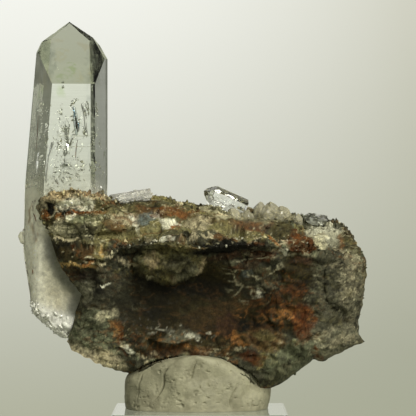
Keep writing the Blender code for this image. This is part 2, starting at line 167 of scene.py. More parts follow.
def ring_angles(count):
    """Angles of points spaced evenly round a ring, as a column."""
    return np.linspace(0, 2 * math.pi, count, endpoint=False)[:, None]


def linear(colour):
    """Linear-light colour from one given as 0 to 255 display values."""
    share = np.asarray(colour, dtype=float) / 255.0
    return np.where(share <= 0.04045, share / 12.92, ((share + 0.055) / 1.055) ** 2.4)


# Surfaces to meshes

def grid_quads(columns, rows, wrap=False):
    """Corner numbers of a grid's quads, the points being numbered column by column."""
    across = np.arange(columns)[:, None]
    up = np.arange(rows)[None, :]
    following = (across + 1) % columns if wrap else across + 1
    corner = [across * (rows + 1) + up, following * (rows + 1) + up,
              following * (rows + 1) + up + 1, across * (rows + 1) + up + 1]
    return np.stack([np.broadcast_to(part, (columns, rows)) for part in corner],
                    axis=-1).reshape(-1, 4)


def two_sided(quads, count):
    """Quads of two like grids, the second's numbered on from the first's and turned over."""
    return np.concatenate([quads, quads[:, ::-1] + count])


def make_mesh(name, points, faces):
    """Mesh from an array of points in mm and an array of faces of equal size."""
    mesh = bpy.data.meshes.new(name)
    corners = faces.shape[1]
    mesh.vertices.add(len(points))
    mesh.vertices.foreach_set("co", (points * MM).astype(np.float32).ravel())
    mesh.loops.add(faces.size)
    mesh.loops.foreach_set("vertex_index", faces.astype(np.int32).ravel())
    mesh.polygons.add(len(faces))
    starts = np.arange(0, faces.size, corners, dtype=np.int32)
    mesh.polygons.foreach_set("loop_start", starts)
    mesh.update(calc_edges=True)
    mesh.validate()
    return mesh


def weld(mesh, distance=0.004):
    """Merge points nearer than a distance in mm, then turn every face outwards."""
    form = bmesh.new()
    form.from_mesh(mesh)
    bmesh.ops.remove_doubles(form, verts=form.verts, dist=distance * MM)
    bmesh.ops.recalc_face_normals(form, faces=form.faces)
    form.to_mesh(mesh)
    form.free()
    return mesh


def piece(name, mesh, material, replaced=()):
    """New piece on the object's one body, with its finish and the node that it stands for."""
    made = bpy.data.objects.new(name, mesh)
    bpy.context.scene.collection.objects.link(made)
    mesh.materials.clear()
    mesh.materials.append(material)
    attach(made, BODY)
    if replaced:
        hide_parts(*replaced)


def shade(mesh, angle):
    """Smooth shading, with edges sharper than the angle in degrees kept crisp."""
    mesh.shade_smooth()
    mesh.set_sharp_from_angle(angle=math.radians(angle))


def paint(mesh, name, colours):
    """Colour attribute on the points, from an array of linear colours."""
    layer = mesh.attributes.new(name, "FLOAT_COLOR", "POINT")
    full = np.concatenate([colours, np.ones((len(colours), 1))], axis=1)
    layer.data.foreach_set("color", full.astype(np.float32).ravel())


def grade(mesh, name, values):
    """Number attribute on the points."""
    layer = mesh.attributes.new(name, "FLOAT", "POINT")
    layer.data.foreach_set("value", np.asarray(values, dtype=np.float32))


def mesh_points(mesh):
    """Points of a mesh as an array, in mm."""
    flat = np.empty(len(mesh.vertices) * 3, dtype=np.float32)
    mesh.vertices.foreach_get("co", flat)
    return flat.reshape(-1, 3).astype(float) / MM


def mesh_normals(mesh):
    """Point normals of a mesh as an array."""
    flat = np.empty(len(mesh.vertices) * 3, dtype=np.float32)
    mesh.vertices.foreach_get("normal", flat)
    return flat.reshape(-1, 3).astype(float)


# Crystals as plane-bounded solids

PRISM_AXIS = (-32.5, 0.0)
# Compass angle of the widest front face, and how far the point's faces lean from level
FRONT_COMPASS = -82.0
POINT_LEAN = 51.8
CRYSTAL_TIP = (-32.95, 5.95, 109.2)
# Height at which the prism's half widths are measured, and that of the lowest broken point
PRISM_Z = 89.2
FOOT_Z = 29.8
# Prism faces: turn from the front one, distance from the axis, splay
PRISM_FACES = ((0, 6.78, 0.0), (60, 8.25, 0.0), (120, 8.03, 0.0),
               (180, 6.78, 0.0), (240, 8.25, 0.080), (300, 8.03, 0.068))
# Faces of the point: turn from the front one, distance outside the tip
POINT_FACES = ((0, 0.0), (60, 2.56), (120, 0.0), (180, 0.5), (240, 0.0), (300, 3.2))
# Broken lower left side, from above: X and Z
BROKEN_SIDE = ((-44.5, 55.5), (-43.5, 46.75), (-41.5, 36.25), (-34.2, 30.0))


def level_out(compass):
    """Level unit vector that points along a compass angle."""
    turn = math.radians(compass)
    return np.array((math.cos(turn), math.sin(turn), 0.0))


def plane(normal, point):
    """Plane as its unit normal followed by its distance from the origin."""
    normal = unit(np.asarray(normal, dtype=float))
    return np.append(normal, normal @ np.asarray(point, dtype=float))


def tall_planes():
    """Planes of the tall crystal: prism, point, broken lower side and foot."""
    planes = []
    centre = np.array((*PRISM_AXIS, PRISM_Z))
    lean = math.radians(POINT_LEAN)
    for turn, distance, splay in PRISM_FACES:
        out = level_out(FRONT_COMPASS + turn)
        planes.append(plane(out + (0, 0, splay), centre + out * distance))
    for turn, beyond in POINT_FACES:
        out = level_out(FRONT_COMPASS + turn)
        normal = out * math.sin(lean) + np.array((0, 0, math.cos(lean)))
        planes.append(plane(normal, np.array(CRYSTAL_TIP) + normal * beyond))
    for upper, lower in zip(BROKEN_SIDE[:-1], BROKEN_SIDE[1:]):
        run = np.array((lower[0] - upper[0], 0, lower[1] - upper[1]))
        planes.append(plane((run[2], 0, -run[0]), (upper[0], 0, upper[1])))
    planes.append(plane((0.1, 0, -1), (BROKEN_SIDE[-1][0], 0, FOOT_Z)))
    return np.array(planes)


def small_planes(foot, tip, width, turn, flattening):
    """Planes of a small hexagonal crystal from foot to tip, with a six-faced point."""
    foot, tip = np.array(foot, dtype=float), np.array(tip, dtype=float)
    axis = unit(tip - foot)
    side, other = square_pair(axis, (0, 1, 0))
    lean = math.radians(POINT_LEAN)
    planes = [plane(-axis, foot)]
    for face in range(6):
        angle = math.radians(turn + 60 * face)
        out = unit(side * math.cos(angle) * flattening + other * math.sin(angle))
        planes.append(plane(out, foot + out * width / 2))
        beyond = (face % 2) * width * 0.12
        planes.append(plane(out * math.sin(lean) + axis * math.cos(lean), tip + out * beyond))
    return np.array(planes)


# Nearness at which a point counts as on a plane
ON_PLANE = 1e-7
# Half width of the square that a face is cut from, more than any crystal needs
BLANK_FACE = 400.0
# Area below which a face is left out
SLIVER = 1e-6


def clip(polygon, cutter):
    """Part of a convex polygon on the inner side of a plane."""
    heights = polygon @ cutter[:3] - cutter[3]
    kept = []
    for index, here in enumerate(polygon):
        following = (index + 1) % len(polygon)
        low, high = heights[index], heights[following]
        if low <= ON_PLANE:
            kept.append(here)
        if (low < -ON_PLANE and high > ON_PLANE) or (low > ON_PLANE and high < -ON_PLANE):
            kept.append(here + (polygon[following] - here) * low / (low - high))
    return np.array(kept).reshape(-1, 3)


def crystal_facets(planes):
    """Polygon of every face of the convex solid that the planes bound."""
    facets = []
    for index, flat in enumerate(planes):
        side, other = square_pair(flat[:3], (0.31, 0.87, 0.39))
        square = np.array([side + other, other - side, -side - other, side - other])
        polygon = flat[:3] * flat[3] + BLANK_FACE * square
        for number, cutter in enumerate(planes):
            if number != index and len(polygon):
                polygon = clip(polygon, cutter)
        if len(polygon) > 2:
            facets.append(polygon)
    return facets


def facet_patch(polygon, spacing, rings_in):
    """A face as a grid of two parameters: share along its rim, and share out from its middle.

    The rim is divided evenly along each side, so two faces that share a side share its points.
    """
    rim = []
    for here, there in zip(polygon, np.roll(polygon, -1, axis=0)):
        count = max(int(round(np.linalg.norm(there - here) / spacing)), 1)
        part = np.arange(count)[:, None] / count
        low, high = sorted((tuple(here), tuple(there)))
        share = part if low == tuple(here) else 1 - part
        rim.append(np.array(low) * (1 - share) + np.array(high) * share)
    rim = np.concatenate(rim)
    middle = rim.mean(axis=0)
    out = np.linspace(0, 1, rings_in + 1)[None, :, None]
    return middle + (rim[:, None] - middle) * out


def crystal_mesh(name, planes, spacing, rings_in, wear=None):
    """Closed crystal: a patch for every face, joined at the rims, then worn by a function."""
    points, faces, first = [], [], 0
    for polygon in crystal_facets(planes):
        if np.linalg.norm(np.cross(polygon[1] - polygon[0], polygon[2] - polygon[0])) < SLIVER:
            continue
        patch = facet_patch(polygon, spacing, rings_in)
        points.append(patch.reshape(-1, 3))
        faces.append(grid_quads(patch.shape[0], rings_in, wrap=True) + first)
        first += patch.shape[0] * (rings_in + 1)
    points = np.concatenate(points)
    if wear is not None:
        points = wear(points)
    return weld(make_mesh(name, points, np.concatenate(faces)), 0.02)


# Rock

# The rock's outline in the front view, in four sides: X and Z
ROCK_TOP = (
    (-40.75, 62.2), (-39.0, 64.6), (-36.8, 66.1), (-34.0, 66.3), (-31.5, 67.1), (-29.0, 66.2),
    (-26.5, 65.8), (-24.5, 66.5), (-23.0, 64.6), (-20.0, 64.4), (-16.5, 65.0), (-12.0, 65.6),
    (-8.3, 65.0), (-6.5, 64.0), (-3.0, 63.7), (2.0, 62.5), (7.0, 61.6), (13.0, 61.8),
    (20.2, 62.0), (22.7, 60.9), (26.5, 59.8), (30.0, 58.4), (33.7, 59.3), (36.2, 57.3),
)
ROCK_RIGHT = (
    (41.25, 28.6), (40.1, 30.5), (39.7, 34.2), (40.8, 38.0), (41.3, 42.2), (41.75, 45.5),
    (41.7, 48.8), (41.2, 50.6), (39.4, 53.0), (38.3, 55.6), (36.2, 57.3),
)
ROCK_BOTTOM = (
    (-33.0, 29.2), (-31.8, 27.2), (-29.0, 25.8), (-24.0, 23.0), (-19.0, 21.3), (-12.0, 18.6),
    (0.0, 16.6), (10.0, 16.0), (17.5, 16.9), (20.6, 18.4), (24.5, 21.2), (28.2, 24.3),
    (30.8, 23.9), (34.5, 25.7), (38.5, 27.6), (41.25, 28.6),
)
ROCK_LEFT = (
    (-33.0, 29.2), (-31.6, 33.0), (-30.6, 37.5), (-29.2, 41.0), (-32.0, 44.3), (-35.0, 48.8),
    (-36.3, 53.0), (-37.5, 57.2), (-40.75, 62.2),
)
# Lines along the rock, each as X and a place: crest, lip, foot of the step under it, keel, back
CREST_Y = ((-41, -6.2), (-37, -9.3), (-31, -9.6), (-26, -9.0), (-23, -6.5), (-18, -1.0),
           (-8, 1.5), (10, 2.5), (30, 3.0), (42, 3.0))
LIP_Z = ((-41, 60.0), (-36, 55.0), (-32, 48.5), (-24, 48.0), (-20, 52.5), (-8, 54.0),
         (0, 52.5), (10, 53.5), (18, 53.0), (28, 51.0), (42, 47.0))
LIP_Y = ((-41, -7.0), (-36, -11.3), (-30, -12.8), (-22, -14.5), (-12, -16.5), (0, -18.0),
         (12, -17.5), (20, -15.6), (30, -12.4), (38, -7.0), (42, -2.0))
RECESS_Y = ((-41, -7.0), (-36, -11.2), (-30, -12.4), (-24, -13.0), (-18, -10.8), (0, -10.5),
            (12, -11.5), (19, -14.4), (30, -12.2), (38, -7.0), (42, -2.0))
KEEL_Y = ((-41, -5.0), (-33, -6.5), (-26, -8.0), (-12, -7.5), (5, -8.0), (20, -10.0),
          (30, -9.0), (38, -5.0), (42, -1.0))
BACK_Y = ((-41, -4.0), (-38, 0.0), (-35, 5.0), (-30, 12.0), (-22, 17.0), (-8, 22.0),
          (8, 23.0), (22, 20.0), (33, 15.0), (42, 9.0))
# How far the lip sags over the step under it
LIP_DROP = 0.9
# Rounded forms on the front: X, Z, half width, half height, how far forward
FRONT_FORMS = (
    (-7.3, 49.0, 8.8, 5.8, 5.0),
    (-29.5, 50.2, 6.5, 2.6, 1.8),
    (-7.5, 29.9, 5.2, 2.0, 3.0),
    (-2.0, 38.5, 19.5, 10.5, -3.8),
    (24.0, 54.3, 4.6, 3.2, 1.8),
    (31.5, 53.5, 5.0, 4.6, 1.9),
    (36.0, 44.0, 5.5, 8.0, 1.8),
    (31.0, 28.5, 9.0, 4.5, 2.6),
    (-27.5, 31.5, 5.0, 5.5, 1.2),
    (-22.0, 59.0, 6.0, 2.6, 1.3),
    (3.0, 58.0, 8.0, 2.6, 1.6),
)
# Powers by which forms that come forward rise steeply, and hollows sink gently
FORM_POWER = 0.55
HOLLOW_POWER = 1.6
# The dark hollow and the lump that hangs into it: X, Z, half width, half height
HOLLOW = (-3.0, 38.0, 20.0, 9.5)
LUMP = (-7.3, 48.4, 9.4, 5.6)
ROCK_COLUMNS = 340
ROCK_ROWS = 210
# Share of the height reached at each share of the grid's rows: the slope gets more rows
ROW_SPREAD = ((0.0, 0.0), (0.46, 0.72), (0.60, 0.80), (1.0, 1.0))
# Turn by which the grain of the sunken face dips to the right
GRAIN_DIP = math.radians(20)
GRAIN_TURN = np.array(((math.cos(GRAIN_DIP), 0, math.sin(GRAIN_DIP)), (0, 1, 0),
                       (-math.sin(GRAIN_DIP), 0, math.cos(GRAIN_DIP))))
# Ledges that dip to the right, and the largest chips
LEDGE_THICKNESS = 4.2
LEDGE_STEP = 1.3
LEDGE_DIP = 0.07
CHIP_SIZE = 5.2
CHIP_STEP = 0.55
CHIP_TILT = 0.26
# How far the rock's left rim stands before the tall crystal's front
RIM_BEFORE_CRYSTAL = 0.5


def crystal_front(x, z):
    """Y of the tall crystal's front: the rearmost of its front-facing planes."""
    fronts = [(flat[3] - flat[0] * x - flat[2] * z) / flat[1]
              for flat in tall_planes() if flat[1] < -0.05]
    return np.max(fronts, axis=0)


def rock_outline_grid(columns, rows):
    """X and Z on the rock's outline face: a Coons patch between its four outline sides."""
    u = np.linspace(0, 1, columns + 1)[:, None]
    v = curve(ROW_SPREAD, np.linspace(0, 1, rows + 1))[None, :]
    top, bottom = along(ROCK_TOP, u[:, 0]), along(ROCK_BOTTOM, u[:, 0])
    left, right = along(ROCK_LEFT, v[0]), along(ROCK_RIGHT, v[0])
    u, v = u[..., None], v[..., None]
    across = (1 - u) * left[None] + u * right[None]
    upward = (1 - v) * bottom[:, None] + v * top[:, None]
    corners = ((1 - u) * (1 - v) * bottom[0] + u * (1 - v) * bottom[-1]
               + (1 - u) * v * top[0] + u * v * top[-1])
    grid = across + upward - corners
    return grid[..., 0], grid[..., 1], u[..., 0], v[..., 0]


def rock_front(x, z, top, bottom):
    """Y of the front: crest to lip, a step back under the lip, then down to the keel."""
    lip = curve(LIP_Z, x)
    above = np.clip((top - z) / np.maximum(top - lip, 1.0), 0, 1)
    below = np.clip((lip - z) / np.maximum(lip - bottom, 1.0), 0, 1)
    upper = curve(CREST_Y, x) + (curve(LIP_Y, x) - curve(CREST_Y, x)) * above ** 0.8
    lower = curve(RECESS_Y, x) + (curve(KEEL_Y, x) - curve(RECESS_Y, x)) * below
    front = np.where(z > lip, upper, lower + (curve(LIP_Y, x) - lower)
                     * (1 - step_up(lip - z, 0.0, 1.6)))
    for centre_x, centre_z, half_x, half_z, forward in FRONT_FORMS:
        away = ((x - centre_x) / half_x) ** 2 + ((z - centre_z) / half_z) ** 2
        power = FORM_POWER if forward > 0 else HOLLOW_POWER
        front = front - forward * np.clip(1 - away ** 2, 0, 1) ** power
    return front


def rock_sheets(columns, rows):
    """Front and back points of the rock, which meet along the outline."""
    x, z, u, v = rock_outline_grid(columns, rows)
    rim_crest = curve(CREST_Y, x)
    rim_left = crystal_front(x, z) - RIM_BEFORE_CRYSTAL
    rim = rim_left + (rim_crest - rim_left) * step_up(u + 0 * v, 0.0, 0.10)
    rim = np.where((v > 0.98) & (x > -40), rim_crest, rim)
    front = rock_front(x, z, z[:, -1:], z[:, :1]) - rim
    front = rim + front * swell(u, 14, 0.5) * swell(v, 9, 0.5)
    back = rim + (curve(BACK_Y, x) - rim) * swell(u, 6, 0.5) * swell(v, 2.6, 0.6)
    return np.stack([x, front, z], axis=-1), np.stack([x, back, z], axis=-1)


def rock_relief(points):
    """Ledges that dip along the rock, chipped facets of three sizes, and grit.

    The slope above the lip keeps its ledges; the sunken face and the hollow are smoother.
    """
    wander = smooth_noise(points, 9.0, 11) * 2.2
    layer = (points[..., 2] + LEDGE_DIP * points[..., 0] + wander) / LEDGE_THICKNESS
    share = layer % 1.0
    ledges = (np.where(share < 0.25, share / 0.25, (1 - share) / 0.75) - 0.5) * LEDGE_STEP
    chips = chip_relief(points, CHIP_SIZE, CHIP_STEP, CHIP_TILT, 21)
    flat = (points + noise_vectors(points, 2.5, 41) * 0.8) * np.array((0.6, 1.0, 1.25))
    middle = chip_relief(flat, 1.9, 0.22, 0.30, 51)
    small = chip_relief(flat, 0.8, 0.09, 0.24, 71)
    calm = smooth_cavity(points)
    slope = step_up(points[..., 2] - curve(LIP_Z, points[..., 0]), 0.0, 1.5)
    face = (1 - slope) * step_up(4.0 - points[..., 1], 0.0, 5.0) * (1 - on_lump(points))
    fine = (middle + small + rough_noise(points, 0.7, 91, 2) * 0.07) * (1 - 0.35 * slope)
    worn = rough_noise(points * np.array((0.7, 1.0, 1.0)), 5.0, 95, 3) * 0.5
    return (ledges * (1 - 0.88 * face) * (1 - calm) + chips * (1 - 0.45 * face) * (1 - 0.8 * calm)
            + smooth_noise(points, 14.0, 31) * 0.6 + worn * face * (1 - 0.7 * calm)
            + fine * (1 - 0.25 * face) * (1 - 0.75 * calm))


def ellipse_away(points, ellipse):
    """Square of each point's distance from an ellipse's middle in the front view, 1 on its rim."""
    centre_x, centre_z, half_x, half_z = ellipse
    across, up = points[..., 0] - centre_x, points[..., 2] - centre_z
    return (across / half_x) ** 2 + (up / half_z) ** 2


def smooth_cavity(points):
    """Share from 0 to 1 of the water-worn hollow in the middle of the front, which painted shade
    darkens.
    """
    return step_up(1.15 - ellipse_away(points, HOLLOW), 0.0, 0.5) * (1 - on_lump(points))


def on_lump(points):
    """Share from 0 to 1 of the lump that hangs from the lip into the hollow."""
    return 1 - step_up(ellipse_away(points, LUMP), 0.7, 1.2)


def sheet_normals(points, outward):
    """Unit normals of a grid of points, turned to the side given by outward."""
    normals = np.cross(np.gradient(points, axis=0), np.gradient(points, axis=1))
    normals /= np.maximum(np.linalg.norm(normals, axis=-1, keepdims=True), 1e-9)
    return normals * np.sign(np.sum(normals * np.array(outward), axis=-1, keepdims=True) + 1e-9)


# The relief fades in over one part in this many of the rock's width, and of its height
FADE_PARTS = (40, 30)


def rim_fade(columns, rows):
    """Share from 0 on the outline rim to 1 a little way in, for each grid point."""
    fades = []
    for count, parts in zip((columns, rows), FADE_PARTS):
        index = np.arange(count + 1)
        fades.append(np.clip(np.minimum(index, count - index) / count * parts, 0, 1))
    return np.minimum(fades[0][:, None], fades[1][None, :])


# How far inside the putty's outline the rock is set back, more at the right, and how deep
PUTTY_OVERLAP = 1.2
RIGHT_OVERLAP = 0.9
SEAT_DEPTH = 0.6
REARMOST_SEAT = -5.0


def behind_putty(x, z):
    """Y just behind the putty's front in the front view, and far in front where it has none."""
    right = step_up(x, 4.0, 9.0)
    height = np.clip((z + RIGHT_OVERLAP * right - BLOCK_TOP) / PUTTY_HEIGHT, 0, 1)
    rise = putty_rise(height)
    spread = np.clip(1 - rise ** PUTTY_CROWN, 1e-6, None)
    deep = np.clip(1 - rise ** SEAT_SHOULDER, 1e-6, None)
    half_width = (PUTTY_HALF_WIDTH - PUTTY_OVERLAP - RIGHT_OVERLAP * right) * spread ** 0.5
    across = np.clip(np.abs(x - PUTTY_CENTRE[0]) / half_width, 0, 1)
    inward = (deep * (1 - across ** 2)) ** (PUTTY_SQUARENESS / 2)
    seat = PUTTY_CENTRE[1] - inward * PUTTY_HALF_DEPTH + SEAT_DEPTH
    return np.where((across < 1) & (height < 0.97), np.minimum(seat, REARMOST_SEAT), -100.0)


def rock_surface():
    """Rock before it is fitted to the crystals: two relief sheets joined along the outline."""
    front, back = rock_sheets(ROCK_COLUMNS, ROCK_ROWS)
    fade = rim_fade(ROCK_COLUMNS, ROCK_ROWS)
    shift = noise_vectors(front, 1.3, 61) * (1 - fade)[..., None] * np.array((0.25, 0.0, 0.35))
    sheets = []
    for points, outward in ((front, (0, -1, 0)), (back, (0, 1, 0))):
        push = rock_relief(points) * fade
        sheets.append(points + sheet_normals(points, outward) * push[..., None] + shift)
    front, back = sheets
    above_lip = front[..., 2] - curve(LIP_Z, front[..., 0])
    droop = step_up(above_lip, -0.4, 1.2) * (1 - step_up(above_lip, 1.2, 6.0))
    middle = step_up(front[..., 0], -24.0, -17.0) * (1 - step_up(front[..., 0], 14.0, 20.0))
    front[..., 2] -= LIP_DROP * droop * fade * middle
    front[..., 1] = np.maximum(front[..., 1], behind_putty(front[..., 0], front[..., 2]))
    points = np.concatenate([front.reshape(-1, 3), back.reshape(-1, 3)])
    quads = two_sided(grid_quads(ROCK_COLUMNS, ROCK_ROWS), len(points) // 2)
    return weld(make_mesh("rock_loft", points, quads))


def cut_socket(mesh, planes):
    """Rock mesh with a crystal's socket cut out by a Boolean, its crumbs dropped."""
    rock = bpy.data.objects.new("rock_in_work", mesh)
    cutter = bpy.data.objects.new("socket", crystal_mesh("socket", planes, 100, 1))
    for item in (rock, cutter):
        bpy.context.scene.collection.objects.link(item)
    step = rock.modifiers.new("socket", "BOOLEAN")
    step.operation, step.solver, step.object = "DIFFERENCE", "MANIFOLD", cutter
    bpy.context.view_layer.update()
    solved = rock.evaluated_get(bpy.context.evaluated_depsgraph_get())
    cut = bpy.data.meshes.new_from_object(solved)
    for item in (rock, cutter):
        bpy.data.objects.remove(item, do_unlink=True)
    form = bmesh.new()
    form.from_mesh(cut)
    keep_largest(form)
    bmesh.ops.triangulate(form, faces=[face for face in form.faces if len(face.verts) > 4])
    form.to_mesh(cut)
    form.free()
    return cut


def half_of(mesh, keep_front):
    """Copy of the rock with only the faces before, or only those behind, its crest line."""
    half = mesh.copy()
    form = bmesh.new()
    form.from_mesh(half)
    middles = [face.calc_center_median() / MM for face in form.faces]
    away = [face for face, middle in zip(form.faces, middles)
            if (middle.y < curve(CREST_Y, middle.x)) != keep_front]
    bmesh.ops.delete(form, geom=away, context="FACES")
    form.to_mesh(half)
    form.free()
    return half


def keep_largest(form):
    """Drop every loose body but the one with the most points."""
    waiting = set(form.verts)
    bodies = []
    while waiting:
        body, reached = [], [waiting.pop()]
        while reached:
            point = reached.pop()
            body.append(point)
            for edge in point.link_edges:
                other = edge.other_vert(point)
                if other in waiting:
                    waiting.discard(other)
                    reached.append(other)
        bodies.append(body)
    bodies.sort(key=len)
    scrap = [point for body in bodies[:-1] for point in body]
    if scrap:
        bmesh.ops.delete(form, geom=scrap, context="VERTS")


# Mineral colours, as display values under the photograph's light; black, dark grey and dark brown
# also serve as painted shade
MINERALS = {
    "olive": (104, 98, 62), "dark olive": (62, 57, 34), "brown": (82, 60, 34),
    "dark brown": (40, 34, 12), "black": (20, 19, 12), "rust": (100, 60, 26),
    "deep rust": (72, 37, 12), "orange": (142, 96, 50), "gold": (168, 140, 86),
    "beige": (156, 147, 118), "pale": (178, 172, 140), "white": (214, 212, 188),
    "grey green": (98, 101, 78), "grey": (106, 104, 84), "dark grey": (58, 57, 43),
    "blue grey": (88, 96, 92), "tan": (172, 154, 118), "maroon": (76, 52, 38),
}
